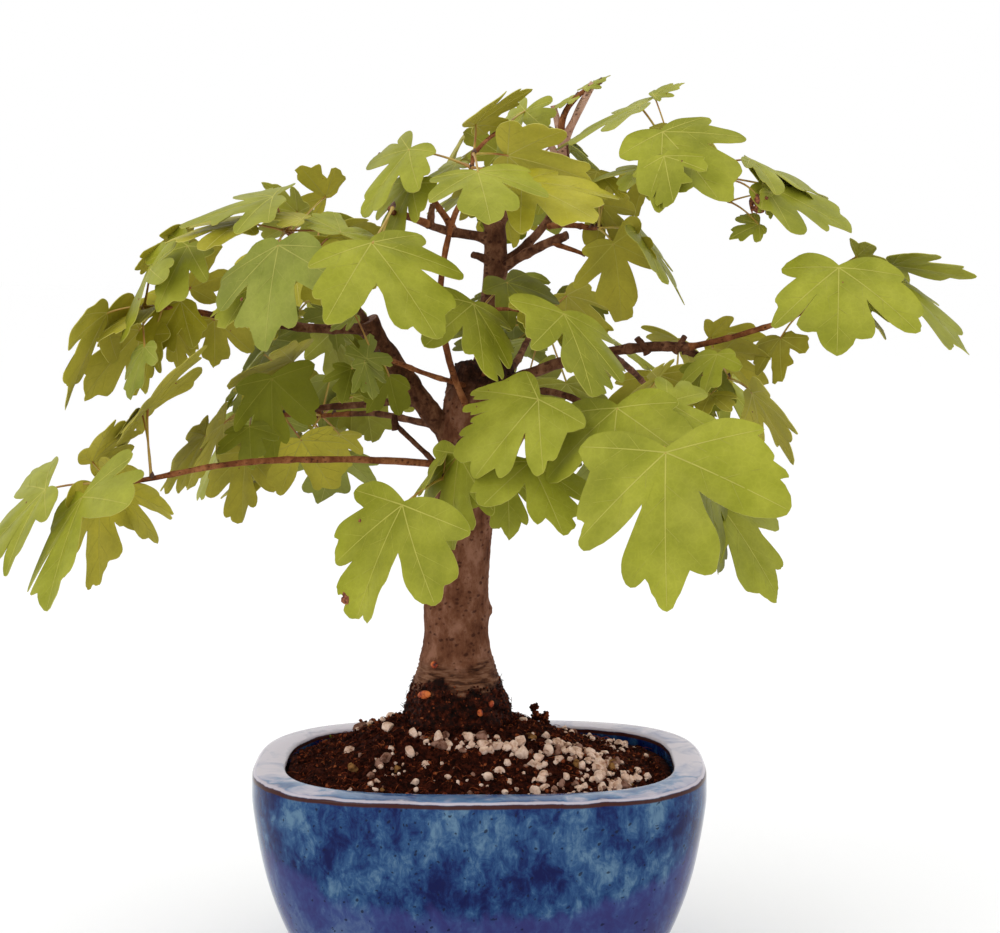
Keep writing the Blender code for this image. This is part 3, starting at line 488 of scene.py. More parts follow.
small_lump, small_lump_faces = lump_shape(1)
crumbs = Heap()
for _ in range(CRUMBS):
    spot = random_soil_spot(soil_rng)
    size = CRUMB_SIZE[0] + (CRUMB_SIZE[1] - CRUMB_SIZE[0]) * soil_rng.random() ** 2
    crumbs.put(*small_crumb(spot, size), int(soil_rng.random() < FIBROUS_SHARE))
for foot, tip in CLOD_ARMS:
    for number in range(CLOD_CRUMBS):
        spot = Vector(foot).lerp(Vector(tip), number / (CLOD_CRUMBS - 1)) * MM
        spot += Vector((soil_rng.gauss(0, 0.7), soil_rng.gauss(0, 0.9), soil_rng.gauss(0, 0.6))) * MM
        size = soil_rng.uniform(0.7, 1.7) * MM
        crumbs.put(*small_crumb(spot, size), int(soil_rng.random() < CLOD_FIBROUS))
for _ in range(SPILLED):
    spot = Vector((soil_rng.gauss(*SPILL_RIGHT), soil_rng.gauss(*SPILL_BACK), 0)) * MM
    spot.z = POT_HEIGHT + abs(soil_rng.gauss(0, 1.2)) * MM
    size = soil_rng.uniform(*SPILL_SIZE)
    crumbs.put(*small_crumb(spot, size), int(soil_rng.random() < FIBROUS_SHARE))
for _ in range(MOSS_TUFTS):
    spot = soil_spot(soil_rng.gauss(*MOSS_RIGHT) * MM, soil_rng.gauss(*MOSS_BACK) * MM)
    crumbs.put(*small_crumb(spot, soil_rng.uniform(*CRUMB_SIZE)), 2)
for _ in range(FIBRES):
    spot = random_soil_spot(soil_rng)
    way = Vector((soil_rng.gauss(0, 1), soil_rng.gauss(0, 1), soil_rng.uniform(-0.2, 0.5))).normalized()
    long = soil_rng.uniform(*FIBRE_LONG) * MM
    arch = Vector((0, 0, 1)) * soil_rng.uniform(*FIBRE_ARCH) * MM
    path = [spot - way * long / 2, spot + arch, spot + way * long / 2]
    crumbs.put(*tube(spline(path, 3), FIBRE_RADIUS, 3), 1)
# Fibrous peat: the drier, redder part, which catches the light.
fibrous, shader, place = start_finish("fibrous_red_peat", "6a3a26", 1.0, Specular_IOR_Level=0.06)
shreds = add_node(fibrous, "ShaderNodeTexNoise", {"Vector": place, "Scale": 600.0, "Detail": 6.0})
shred_colour = add_node(fibrous, "ShaderNodeValToRGB", {"Fac": shreds}, stops=(
    (0.36, "3c160b"), (0.50, "6e301b"), (0.66, "985632")))
shred_bump = add_node(fibrous, "ShaderNodeBump", {"Strength": 0.6, "Distance": 0.0006, "Height": shreds})
plug_in(fibrous, shader, Base_Color=shred_colour, Normal=shred_bump)
# Moss: small green cushions at the back left.
moss, shader, place = start_finish("dry_cushion_moss", "4c5a22", 1.0, Specular_IOR_Level=0.06)
cushion = add_node(moss, "ShaderNodeTexNoise", {"Vector": place, "Scale": 900.0})
moss_colour = add_node(moss, "ShaderNodeValToRGB", {"Fac": cushion}, stops=(
    (0.38, "2c3512"), (0.62, "69762e")))
plug_in(moss, shader, Base_Color=moss_colour)
crumbs.join("peat_crumbs", [peat, fibrous, moss], "potting_soil", smooth=30)

# Pumice grit: pale, porous, angular grains of 2 to 8 mm, scattered by hand over
# the front and the right of the soil and half sunk in it. Some are dusty with
# peat, and a few grains are yellow brown bark.
GRAIN_SIZES = (0.7 * MM, 3.3 * MM)
GRAIN_CUTS = 12
GRAIN_CLEAR = 29 * MM
DUSTY_SHARE = 0.20
BARK_SHARE = 0.05
# Patches of grit: how far to the right and to the back each has its middle, its
# spread both ways in mm, and how many grains it has.
GRIT_PATCHES = (
    (2, -26, 30, 4, 90), (58, -30, 20, 17, 150), (26, -46, 32, 12, 60), (-34, -38, 20, 12, 44),
    (-62, -57, 16, 2.5, 44), (44, -14, 18, 6, 60), (-10, 48, 40, 9, 50), (60, 30, 18, 14, 50),
    (-58, 22, 18, 18, 16))
grain_rng = random.Random(11)
grain_lump, grain_lump_faces = lump_shape(3)
pumice_grains = Heap()
bark_grains = Heap()
for right, back, spread_right, spread_back, count in GRIT_PATCHES:
    for _ in range(count):
        x = grain_rng.gauss(right, spread_right * 0.55) * MM
        y = grain_rng.gauss(back, spread_back * 0.8) * MM
        turn = math.atan2(y / POT_DEPTH, x / POT_WIDTH)
        out = math.hypot(x / soil_walls[-1][1], y / soil_walls[-1][2]) / corner_reach(turn)
        if out > 0.95 or math.hypot(x - TRUNK_RIGHT, y - TRUNK_BACK) < GRAIN_CLEAR:
            continue
        size = GRAIN_SIZES[0] + (GRAIN_SIZES[1] - GRAIN_SIZES[0]) * grain_rng.random() ** 1.9
        seat = np.array(soil_spot(x, y) + Vector((0, 0, size * grain_rng.uniform(0.05, 0.35))))
        shape = broken_lump(grain_lump, grain_rng, GRAIN_CUTS, (0.42, 0.74)) * size * 1.2 + seat
        kind = grain_rng.random()
        if kind < BARK_SHARE:
            bark_grains.put(shape, grain_lump_faces)
        else:
            pumice_grains.put(shape, grain_lump_faces, 1 if kind > 1 - DUSTY_SHARE else 0)


def pumice_finish(name, tones):
    """Froth of volcanic glass: matt, with 0.3 mm pores and peat dust in its hollows."""
    finish, shader, place = start_finish(name, tones[1], 0.95, Specular_IOR_Level=0.1)
    dust = add_node(finish, "ShaderNodeTexNoise", {"Vector": place, "Scale": 300.0, "Detail": 6.0,
                                                   "Roughness": 0.7})
    colour = add_node(finish, "ShaderNodeValToRGB", {"Fac": dust}, stops=(
        (0.32, tones[0]), (0.43, tones[1]), (0.58, tones[2])))
    pores = add_node(finish, "ShaderNodeTexNoise", {"Vector": place, "Scale": 1500.0, "Detail": 3.0})
    relief = add_node(finish, "ShaderNodeBump", {"Strength": 0.5, "Distance": 0.0004, "Height": pores})
    plug_in(finish, shader, Base_Color=colour, Normal=relief)
    return finish


# Washed pumice is pinkish white, and the dusty grains are a dull reddish brown.
washed = pumice_finish("washed_pumice", ("93684f", "d0ab94", "ebcfbd"))
dusty = pumice_finish("peat_dusted_pumice", ("3c2219", "6f4a3b", "9a7565"))
pumice_grains.join("pumice_grit", [washed, dusty], "potting_soil", smooth=20)

# Composted bark: dull yellow brown chips with a fibrous grain.
bark_chip, shader, place = start_finish("composted_bark_chip", "8a5f2c", 0.95, Specular_IOR_Level=0.1)
chip = add_node(bark_chip, "ShaderNodeTexNoise", {"Vector": place, "Scale": 420.0, "Detail": 4.0})
chip_colour = add_node(bark_chip, "ShaderNodeValToRGB", {"Fac": chip}, stops=(
    (0.38, "4a2c17"), (0.60, "946a3c")))
chip_bump = add_node(bark_chip, "ShaderNodeBump", {"Strength": 0.5, "Distance": 0.0005, "Height": chip})
plug_in(bark_chip, shader, Base_Color=chip_colour, Normal=chip_bump)
bark_grains.join("bark_chips", [bark_chip], "potting_soil", smooth=30)

# The trunk: a field maple's stem, chopped off at the top and callused over. The
# bark is smooth and brown with raised pores, wrinkled where the crown of roots
# once was, and dark with peat below that, where root stubs were trimmed off.
# Rows of height, place to the right and radius, in mm.
TRUNK_PROFILE = (
    (123.3, -11, 26), (130, -11, 24.5), (138, -11, 22.5), (147, -11, 19), (153, -11, 16.8), (160, -11, 15.4),
    (188, -10.3, 14.7), (210, -9, 14.5), (232, -7, 14.4), (254, -4, 15.2), (272, -1, 15.2), (289, 2, 13.2))
TRUNK_SIDES = 128
TRUNK_ROWS = 230
TRUNK_TOP_ROWS = 9
TRUNK_RIDGES = 3
TRUNK_RIDGE = 0.02
RIDGE_TWIST = 60
FLARE_ROOTS = 5
FLARE_SWELL = 0.07
FLARE_TOP = 152 * MM
CUT_TEETH = 5
CUT_RAGGED = 2.2 * MM
PEAT_LINE = 143 * MM
# The crown of roots, in metres: its wrinkles' middle and reach, how far apart and
# how deep they are, and the swelling just above them.
CROWN_AT = 0.1485
CROWN_REACH = 0.0085
WRINKLE_EVERY = 1.7 * MM
WRINKLE_DEEP = 0.42 * MM
SWELLING_AT = 0.1545
SWELLING_REACH = 0.0042
# The wood of the old cut crumbles from this height up, more and more.
CRUMBLING_FROM = 0.266
CRUMBLING_REACH = 0.014
PORES = 240
PORE_RISE = 0.30 * MM
# Knots and scars: turn in degrees, then in mm how high up each is, and how far
# its swelling rises and spreads.
KNOTS = ((0, 176, 2.0, 2.6), (-118, 152.5, 1.6, 3.5), (-62, 153.5, 1.0, 5.0), (-20, 161, 0.7, 4.0),
         (150, 214, 1.5, 3.0), (60, 196, 1.3, 3.0), (-100, 236, 1.0, 3.0))
trunk_rows = spline(TRUNK_PROFILE, 8) * MM
pore_rng = random.Random(3)
pores_at = [(pore_rng.uniform(-math.pi, math.pi), pore_rng.uniform(154, 284) * MM,
             pore_rng.uniform(0.6, 1.3) * MM) for _ in range(PORES)]
pore_turns, pore_heights, pore_sizes = np.array(pores_at).T


def trunk_relief(turn, height, radius):
    """How far the bark stands out at a turn and a height of the trunk."""
    spot = Vector((math.cos(turn) * radius, math.sin(turn) * radius, height))
    fine = Vector((spot.x * 3, spot.y * 3, spot.z)) * 160
    rise = noise.noise(spot * 70) * 0.6 * MM + noise.noise(fine) * 0.22 * MM
    rise += noise.noise(spot * 420) * 0.22 * MM
    wrinkle = max(0.0, 1 - abs(height - CROWN_AT) / CROWN_REACH)
    wrinkle *= 0.45 + 0.55 * abs(math.sin(turn * 1.5 + 0.6))
    wavy = height + noise.noise(spot * 75) * 2.4 * MM
    rise += wrinkle * math.sin(wavy * math.tau / WRINKLE_EVERY) * WRINKLE_DEEP
    swelling = math.exp(-((height - SWELLING_AT) / SWELLING_REACH) ** 2)
    rise += swelling * 0.6 * MM * (1 + noise.noise(spot * 60))
    if height < PEAT_LINE:
        rise += (crumbled(spot, 200, 3.0 * MM) - 1.2 * MM) * min(1.0, (PEAT_LINE - height) / (5 * MM))
    if height > CRUMBLING_FROM:
        rise += crumbled(spot, 150, 3.4 * MM) * min(1.0, (height - CRUMBLING_FROM) / CRUMBLING_REACH)
    apart = np.abs((pore_turns - turn + math.pi) % math.tau - math.pi) * radius
    rise += float(np.sum(np.exp(-(apart / pore_sizes / 1.1) ** 2
                                - ((height - pore_heights) / pore_sizes / 0.7) ** 2))) * PORE_RISE
    for knot_turn, knot_height, high, wide in KNOTS:
        apart = math.remainder(turn - math.radians(knot_turn), math.tau) * radius
        away = math.hypot(apart, height - knot_height * MM) / (wide * MM)
        rise += high * MM * math.exp(-away ** 2) - 0.5 * high * MM * math.exp(-(away * 3) ** 2)
    return rise


def trunk_spot(turn, height):
    """A place on the trunk's skin, at a turn and a height."""
    right = np.interp(height, trunk_rows[:, 0], trunk_rows[:, 1])
    radius = np.interp(height, trunk_rows[:, 0], trunk_rows[:, 2])
    flare = max(0.0, 1 - (height - SOIL_TOP) / (FLARE_TOP - SOIL_TOP))
    swell = 1 + TRUNK_RIDGE * math.sin(TRUNK_RIDGES * turn + height * RIDGE_TWIST)
    swell += FLARE_SWELL * flare * math.sin(FLARE_ROOTS * turn)
    reach = radius * swell + trunk_relief(turn, height, radius)
    return Vector((right + reach * math.cos(turn), TRUNK_BACK + reach * math.sin(turn), height))


trunk = raise_column("trunk_bark", TRUNK_SIDES, TRUNK_ROWS + TRUNK_TOP_ROWS)
for vertex in trunk.data.vertices:
    turn = math.atan2(vertex.co.y, vertex.co.x)
    row = round(vertex.co.z)
    rise = min(1.0, row / (TRUNK_ROWS - 1))
    height = trunk_rows[0, 0] - 2 * MM + rise * (trunk_rows[-1, 0] - trunk_rows[0, 0] + 2 * MM)
    spot = trunk_spot(turn, height)
    ragged = CUT_RAGGED * math.sin(CUT_TEETH * turn) + noise.noise(spot * 180) * 2.5 * MM
    if row >= TRUNK_ROWS:
        inward = (row - TRUNK_ROWS + 1) / TRUNK_TOP_ROWS
        middle = Vector((trunk_rows[-1, 1], TRUNK_BACK, height))
        spot = spot.lerp(middle, inward ** 1.3 * 0.98)
        ragged = ragged * (1 - inward) + crumbled(spot, 210, 4.5 * MM)
        ragged += 1.5 * MM * math.sin(inward * math.pi)
    vertex.co = spot + Vector((0, 0, ragged * max(0.0, (rise - 0.93) / 0.07)))


def bark_finish(name, tones, pore_size, on_trunk):
    """Living bark in soft brown streaks with smudged dark pores, and the trunk's zones."""
    bark, shader, place = start_finish(name, tones[1], 0.85, Specular_IOR_Level=0.12)
    long_way = add_node(bark, "ShaderNodeMapping", {"Vector": place, "Scale": (1.0, 1.0, 0.6)})
    streaks = add_node(bark, "ShaderNodeTexNoise", {"Vector": long_way, "Scale": 130.0, "Detail": 9.0,
                                                    "Roughness": 0.72})
    base = add_node(bark, "ShaderNodeValToRGB", {"Fac": streaks}, stops=(
        (0.32, tones[0]), (0.48, tones[1]), (0.64, tones[2])))
    smudged = add_node(bark, "ShaderNodeMixRGB", {"Fac": 0.004, "Color1": place, "Color2": streaks})
    flat_way = add_node(bark, "ShaderNodeMapping", {"Vector": smudged, "Scale": (1.0, 1.0, 1.6)})
    dots = add_node(bark, "ShaderNodeTexVoronoi", {"Vector": flat_way, "Scale": 1 / (4.6 * pore_size)})
    sizes = add_node(bark, "ShaderNodeTexNoise", {"Vector": place, "Scale": 210.0, "Detail": 3.0})
    dot_edge = add_node(bark, "ShaderNodeMath", {0: sizes, 1: -0.9, 2: dots}, operation="MULTIPLY_ADD")
    dot_share = add_node(bark, "ShaderNodeMapRange", {"Value": dot_edge, "From Min": -0.15,
                                                      "From Max": -0.34, "To Max": 0.75})
    colour = add_node(bark, "ShaderNodeMixRGB", {"Fac": dot_share, "Color1": base,
                                                 "Color2": linear("2f130b")})
    if on_trunk:
        add_node(bark, "ShaderNodeSeparateXYZ", {"Vector": place})
        height = bark.node_tree.nodes[-1].outputs["Z"]
        right = bark.node_tree.nodes[-1].outputs["X"]
        smear = add_node(bark, "ShaderNodeTexNoise", {"Vector": place, "Scale": 80.0, "Detail": 7.0})
        edge = add_node(bark, "ShaderNodeMath", {0: smear, 1: -0.030, 2: height}, operation="MULTIPLY_ADD")
        # The crown of roots: olive brown skin with dark wrinkles 1.7 mm apart.
        flat_lines = add_node(bark, "ShaderNodeMapping", {"Vector": place, "Scale": (0.35, 0.35, 2.2)})
        lines = add_node(bark, "ShaderNodeTexNoise", {"Vector": flat_lines, "Scale": 280.0, "Detail": 4.0,
                                                      "Roughness": 0.6, "Distortion": 0.4})
        wrinkled = add_node(bark, "ShaderNodeValToRGB", {"Fac": lines}, stops=(
            (0.38, "24120a"), (0.46, "593623"), (0.60, "86604a")))
        collar = add_node(bark, "ShaderNodeMapRange", {"Value": edge, "From Min": 0.1400, "From Max": 0.1340,
                                                       "To Max": 0.8})
        colour = add_node(bark, "ShaderNodeMixRGB", {"Fac": collar, "Color1": colour, "Color2": wrinkled})
        # Peat still clings to the foot, higher on the right.
        slope = add_node(bark, "ShaderNodeMath", {0: right, 1: -0.10, 2: edge}, operation="MULTIPLY_ADD")
        low = add_node(bark, "ShaderNodeMapRange", {"Value": slope, "From Min": 0.1295, "From Max": 0.1270})
        fine = add_node(bark, "ShaderNodeTexNoise", {"Vector": place, "Scale": 330.0, "Detail": 8.0,
                                                     "Roughness": 0.74})
        soiled = add_node(bark, "ShaderNodeValToRGB", {"Fac": fine}, stops=(
            (0.38, "0a0302"), (0.50, "260d06"), (0.60, "4e1d0d"), (0.72, "77381b")))
        colour = add_node(bark, "ShaderNodeMixRGB", {"Fac": low, "Color1": colour, "Color2": soiled})
        # The old cut at the top is dead, dark and crumbling.
        top = add_node(bark, "ShaderNodeMapRange", {"Value": edge, "From Min": 0.2600, "From Max": 0.2690})
        dead = add_node(bark, "ShaderNodeValToRGB", {"Fac": fine}, stops=(
            (0.38, "120805"), (0.54, "331a10"), (0.70, "5c3826")))
        colour = add_node(bark, "ShaderNodeMixRGB", {"Fac": top, "Color1": colour, "Color2": dead})
    relief = add_node(bark, "ShaderNodeBump", {"Strength": 0.7, "Distance": 0.0009, "Height": streaks})
    plug_in(bark, shader, Base_Color=colour, Normal=relief)
    return bark


# Field maple bark on an old stem: reddish brown, with pores about 1 mm across.
trunk_bark = bark_finish("smooth_maple_bark", ("4a2616", "6f4530", "906550"), 0.85 * MM, True)
trunk.data.materials.append(trunk_bark)
bpy.ops.object.shade_smooth_by_angle(angle=math.radians(70))
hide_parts("trunk")
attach(trunk, "root")

# Trimmed root stubs: orange brown wood where surface roots were cut away.
# Each has a turn in degrees, a height, and how tall and wide it is in mm.
ROOT_STUBS = ((-130, 139.5, 3.0, 4.6), (-46, 135, 2.2, 1.7), (-62, 132, 2.2, 1.4), (-122, 153.3, 1.7, 1.9),
              (40, 138, 2.2, 3.0), (120, 141, 2.4, 3.2))
stubs = Heap()
for turn, height, tall, wide in ROOT_STUBS:
    turn = math.radians(turn)
    out = np.array((math.cos(turn), math.sin(turn), 0.0))
    along = np.array((-math.sin(turn), math.cos(turn), 0.0))
    seat = np.array(trunk_spot(turn, height * MM))
    lump = broken_lump(grain_lump, soil_rng, 4, (0.75, 0.95))
    shape = seat + (lump[:, :1] * wide * along + lump[:, 1:2] * tall * np.array((0, 0, 1.0))
                    + lump[:, 2:] * 1.5 * out) * MM
    stubs.put(shape, grain_lump_faces)

# Peat that clings to the trunk's foot in crumbs and short fibres.
CLINGING = 1300
CLINGING_HIGH = 21 * MM
CLINGING_FIBRES = 0.25
clinging = Heap()
for _ in range(CLINGING):
    turn = soil_rng.uniform(-math.pi, math.pi)
    height = SOIL_TOP + CLINGING_HIGH * soil_rng.random() ** 1.5
    spot = trunk_spot(turn, height)
    size = soil_rng.uniform(0.3, 0.8) * MM
    clinging.put(*small_crumb(spot, size), int(soil_rng.random() < FIBROUS_SHARE))
    if soil_rng.random() < CLINGING_FIBRES:
        away = Vector((math.cos(turn), math.sin(turn), soil_rng.uniform(-0.6, 1.0)))
        along = Vector((-math.sin(turn), math.cos(turn), soil_rng.uniform(-0.8, 0.8)))
        along *= soil_rng.uniform(-2, 2)
        path = [spot, spot + (away + along) * 0.8 * MM, spot + (away * 1.2 + along * 1.8) * MM]
        clinging.put(*tube(path, FIBRE_RADIUS, 3))
clinging.join("clinging_peat", [peat, fibrous], "potting_soil", smooth=40)

# Cut maple root wood: orange brown with darker grain, weathered.
root_wood, shader, place = start_finish("weathered_root_wood", "9a5327", 0.7)
grain = add_node(root_wood, "ShaderNodeTexNoise", {"Vector": place, "Scale": 380.0, "Detail": 4.0})
wood_colour = add_node(root_wood, "ShaderNodeValToRGB", {"Fac": grain}, stops=(
    (0.36, "40140a"), (0.47, "a43a12"), (0.62, "d6702f")))
grain_bump = add_node(root_wood, "ShaderNodeBump", {"Strength": 0.5, "Distance": 0.0005, "Height": grain})
plug_in(root_wood, shader, Base_Color=wood_colour, Normal=grain_bump)
stubs.join("root_stubs", [root_wood], "bark")

# The boughs and branches: each one tapering limb that grows out of the trunk or
# of another limb through a thicker collar. Those cut back end in a dry stub,
# and the young shoots are smoother and redder, with a ring at every node.
LIMB_STEPS = 5
LIMB_FINE = 30
COLLAR = 0.45
COLLAR_LONG = 0.10
NODE_EVERY = 17 * MM
NODE_RING = 1.3 * MM
STOUT_LIMB = 4
YOUNG_NAMES = ("shoot", "twig")
# How far the limbs stray from their bends. The vector noise behind it takes its
# seed from the clock unless one is set, and every run has to give the same limbs.
WOBBLE = 0.9 * MM
WOBBLE_SEED = 7
Limb = namedtuple("Limb", "name grows_from root via tip thick thin")

# Limbs in mm: where each starts inside the one that bears it, a point on its
# way, its tip, and its radius at either end.
LIMBS = (
    Limb("bough_left", "trunk", (-10, 6, 254), (-33, 1, 283), (-50, -8, 312), 5.4, 4.3),
    Limb("leader", "trunk", (1, 13, 280), (6, 18, 318), (7, 20, 356), 5.6, 5.0),
    Limb("shoot_low_left", "trunk", (-10, 2, 244), (-76, -41, 252), (-130, -60, 248), 1.7, 1.2),
    Limb("stub_low_left", "trunk", (-10, 4, 236), (-28, -3, 254), (-38, -8, 265), 1.3, 1.2),
    Limb("branch_left_low", "bough_left", (-29, 3, 274), (-60, 8, 272), (-83, 10, 268), 1.8, 1.3),
    Limb("branch_left_mid", "bough_left", (-46, -5, 308), (-85, -4, 309), (-124, -9, 315), 2.5, 1.3),
    Limb("branch_left_upper", "bough_left", (-49, -5, 307), (-64, -18, 330), (-78, -24, 345), 2.0, 1.4),
    Limb("twig_left_inner", "trunk", (-2, 0, 280), (-28, -20, 290), (-41, -31, 296), 1.3, 1.0),
    Limb("leader_left", "leader", (6, 19, 348), (-10, 12, 351), (-23, -2, 355), 2.4, 1.8),
    Limb("twig_upper_left", "leader_left", (-12, 11, 352), (-26, 4, 372), (-45, -6, 386), 1.6, 1.2),
    Limb("leader_right", "leader", (6, 20, 332), (26, 9, 344), (40, 2, 350), 2.4, 2.0),
    Limb("twig_right_bare", "leader_right", (33, 5, 347), (41, 2, 344), (48, 0, 341), 1.2, 1.0),
    Limb("limb_top", "leader", (6, 21, 334), (35, 20, 362), (38, 16, 394), 2.1, 1.7),
    Limb("limb_right_upper", "limb_top", (35, 20, 362), (56, 11, 369), (74, 4, 374), 1.8, 1.3),
    Limb("twig_right_middle", "limb_top", (32, 20, 354), (40, 12, 355), (47, 4, 354), 1.4, 1.2),
    Limb("bough_right", "trunk", (2, 8, 278), (53, -4, 296), (95, -18, 300), 2.7, 2.2),
    Limb("shoot_right", "bough_right", (92, -17, 299.8), (113, -25, 305), (133, -32, 312), 1.5, 1.1),
    Limb("branch_right_side", "bough_right", (92, -16, 299), (100, -14, 295), (105, -12, 290), 1.7, 1.3),
    Limb("branch_right_low", "trunk", (2, 2, 272), (28, -20, 280), (48, -42, 275), 1.9, 1.4),
    Limb("shoot_front_upper", "trunk", (-3, 0, 266), (-17, -30, 318), (-7, -42, 366), 1.6, 1.2),
    Limb("twig_front_middle", "trunk", (1, 2, 282), (4, -22, 300), (1, -40, 313), 1.3, 1.1),
    Limb("shoot_front_middle", "trunk", (-2, 2, 262), (6, -25, 264), (11, -45, 268), 1.5, 1.2),
    Limb("shoot_front_low", "trunk", (-8, 2, 240), (-9, -25, 245), (-9, -42, 247), 1.4, 1.2),
    Limb("branch_back_left", "bough_left", (-33, 2, 283), (-54, 40, 302), (-70, 78, 312), 2.1, 1.3),
    Limb("branch_back_top", "leader", (7, 20, 345), (12, 38, 360), (18, 56, 373), 2.0, 1.3),
    Limb("branch_back_middle", "trunk", (0, 10, 276), (16, 50, 288), (24, 84, 300), 2.2, 1.4),
    Limb("branch_back_right", "bough_right", (58, -5, 296.5), (72, 30, 286), (82, 62, 272), 1.8, 1.3),
    Limb("branch_back_low", "trunk", (-8, 8, 256), (-34, 48, 262), (-64, 76, 262), 2.0, 1.3),
)
# Short pruned spurs on the limbs, in mm: foot, tip and radius.
SPURS = (
    ((-38, -8, 262), (-38.5, -8.5, 269), 1.3), ((6, 19, 350), (1, 13, 361), 2.3),
    ((7, 20, 352), (15, 17, 362), 1.9), ((-22, -2, 355), (-21, -3, 364), 1.3),
    ((4, 14, 338), (-3, 8, 341), 1.6), ((76, -12, 297), (71, -14, 304), 1.5),
    ((88, -16, 298), (92, -20, 305), 1.3),
    ((48, -42, 275), (53, -50, 272), 1.5), ((101, -14, 294), (111, -12, 291), 1.3),
)
# The fork at the top of the crown, cut back and dried out to a pinkish grey.
TOP_FORK = (
    ((38, 16, 376), (38, 16, 393), 1.9), ((38, 16, 392), (52, 12, 419), 1.7),
    ((38, 16, 390), (34, 17, 409), 1.4), ((36, 18, 386), (27, 14, 398), 1.3),
)


def point(values):
    """A point given in millimetres, as metres."""
    return Vector(values) * MM


def bend(root, pull, tip, steps):
    """Points on a smooth bend from root to tip, drawn towards a third point."""
    points = []
    for i in range(steps + 1):
        t = i / steps
        points.append(root * (1 - t) ** 2 + pull * 2 * t * (1 - t) + tip * t ** 2)
    return points


def limb_points(limb, steps=LIMB_STEPS):
    """Points along a limb, through the one that it passes on its way."""
    root = point(limb.root)
    tip = point(limb.tip)
    return bend(root, point(limb.via) * 2 - (root + tip) / 2, tip, steps)


def woody_tube(path, thick, thin, sides, collar, knobbly):
    """A tube with a collar at its foot, bark relief, and a swollen ring at each node."""
    count = len(path)
    path = [spot + noise.noise_vector(spot * 38) * WOBBLE * min(1.0, 4 * i / count) * (i < count - 2)
            for i, spot in enumerate(path)]
    gone = np.cumsum([0.0] + [(b - a).length for a, b in zip(path, path[1:])])
    share = gone / gone[-1]
    radii = thick + (thin - thick) * share
    radii = radii * (1 + collar * np.exp(-(share / COLLAR_LONG) ** 2))
    radii += knobbly * np.exp(-((np.mod(gone + 5 * MM, NODE_EVERY) - NODE_EVERY / 2) / NODE_RING) ** 2)
    points, faces = tube(path, radii, sides)
    if sides >= 10:
        middles = np.repeat(np.array(path), sides, axis=0)
        for i, (spot, middle) in enumerate(zip(points, middles)):
            away = Vector(spot - middle)
            rise = noise.noise(Vector(spot) * 230) * 0.16 * away.length
            rise += noise.noise(Vector(spot) * 80) * 0.10 * away.length
            points[i] = spot + np.array(away.normalized() * rise)
    return points, faces


noise.seed_set(WOBBLE_SEED)
boughs = Heap()
young_shoots = Heap()
top_fork = Heap()
for limb in LIMBS:
    young = limb.name.startswith(YOUNG_NAMES)
    path = limb_points(limb, LIMB_FINE)
    sides = 18 if limb.thick > STOUT_LIMB else 12
    knobbly = 0.16 * limb.thick * MM if limb.thick < STOUT_LIMB else 0.3 * MM
    collar = 0.25 if young else COLLAR
    shape = woody_tube(path, limb.thick * MM, limb.thin * MM, sides, collar, knobbly)
    (young_shoots if young else boughs).put(*shape)
for heap, spurs in ((boughs, SPURS), (top_fork, TOP_FORK)):
    for foot, tip, radius in spurs:
        path = bend(point(foot), (point(foot) + point(tip)) / 2, point(tip), 8)
        heap.put(*woody_tube(path, radius * 1.15 * MM, radius * MM, 12, 0.3, 0.25 * MM))

# Bark of the older limbs, a dull dark brown, and of this year's shoots, redder,
# with smaller pores; the dried fork at the top is a pinkish grey.
limb_bark = bark_finish("grey_brown_limb_bark", ("2a140a", "563422", "845b42"), 0.8 * MM, False)
shoot_bark = bark_finish("red_brown_shoot_bark", ("4a2313", "7a4728", "a46c44"), 0.5 * MM, False)
fork_bark = bark_finish("pink_grey_fork_bark", ("85594a", "b98c76", "d4ae9a"), 0.6 * MM, False)
older = [limb.name for limb in LIMBS if not limb.name.startswith(YOUNG_NAMES)]
younger = [limb.name for limb in LIMBS if limb.name.startswith(YOUNG_NAMES)]
boughs.join("boughs_and_branches", [limb_bark], "bark", *older)
young_shoots.join("young_shoots", [shoot_bark], "young_bark", *younger)
top_fork.join("top_fork", [fork_bark], "bark", "limb_top")

# Cut faces: dry pinkish wood on the end of each limb that was pruned, with the
# radius of each in mm.
CUT_ENDS = (("bough_left", 4.3), ("leader", 5.0), ("twig_upper_left", 1.3),
            ("stub_low_left", 1.2), ("twig_right_bare", 1.0), ("branch_right_low", 1.5))
cuts = Heap()
by_name = {limb.name: limb for limb in LIMBS}
for name, radius in CUT_ENDS:
    before, tip = limb_points(by_name[name], LIMB_FINE)[-2:]
    ahead = (tip - before).normalized()
    cuts.put(*tube([tip - ahead * 0.8 * MM, tip + ahead * 0.25 * MM], [radius * MM, radius * 0.86 * MM], 12))
dry_cut, shader, place = start_finish("dry_pruning_cut", "7c5c4e", 0.85, Specular_IOR_Level=0.15)
rings = add_node(dry_cut, "ShaderNodeTexNoise", {"Vector": place, "Scale": 500.0, "Detail": 3.0})
cut_colour = add_node(dry_cut, "ShaderNodeValToRGB", {"Fac": rings}, stops=(
    (0.38, "4a3026"), (0.60, "8e6c5e")))
plug_in(dry_cut, shader, Base_Color=cut_colour)
cuts.join("pruning_cuts", [dry_cut], "bark")

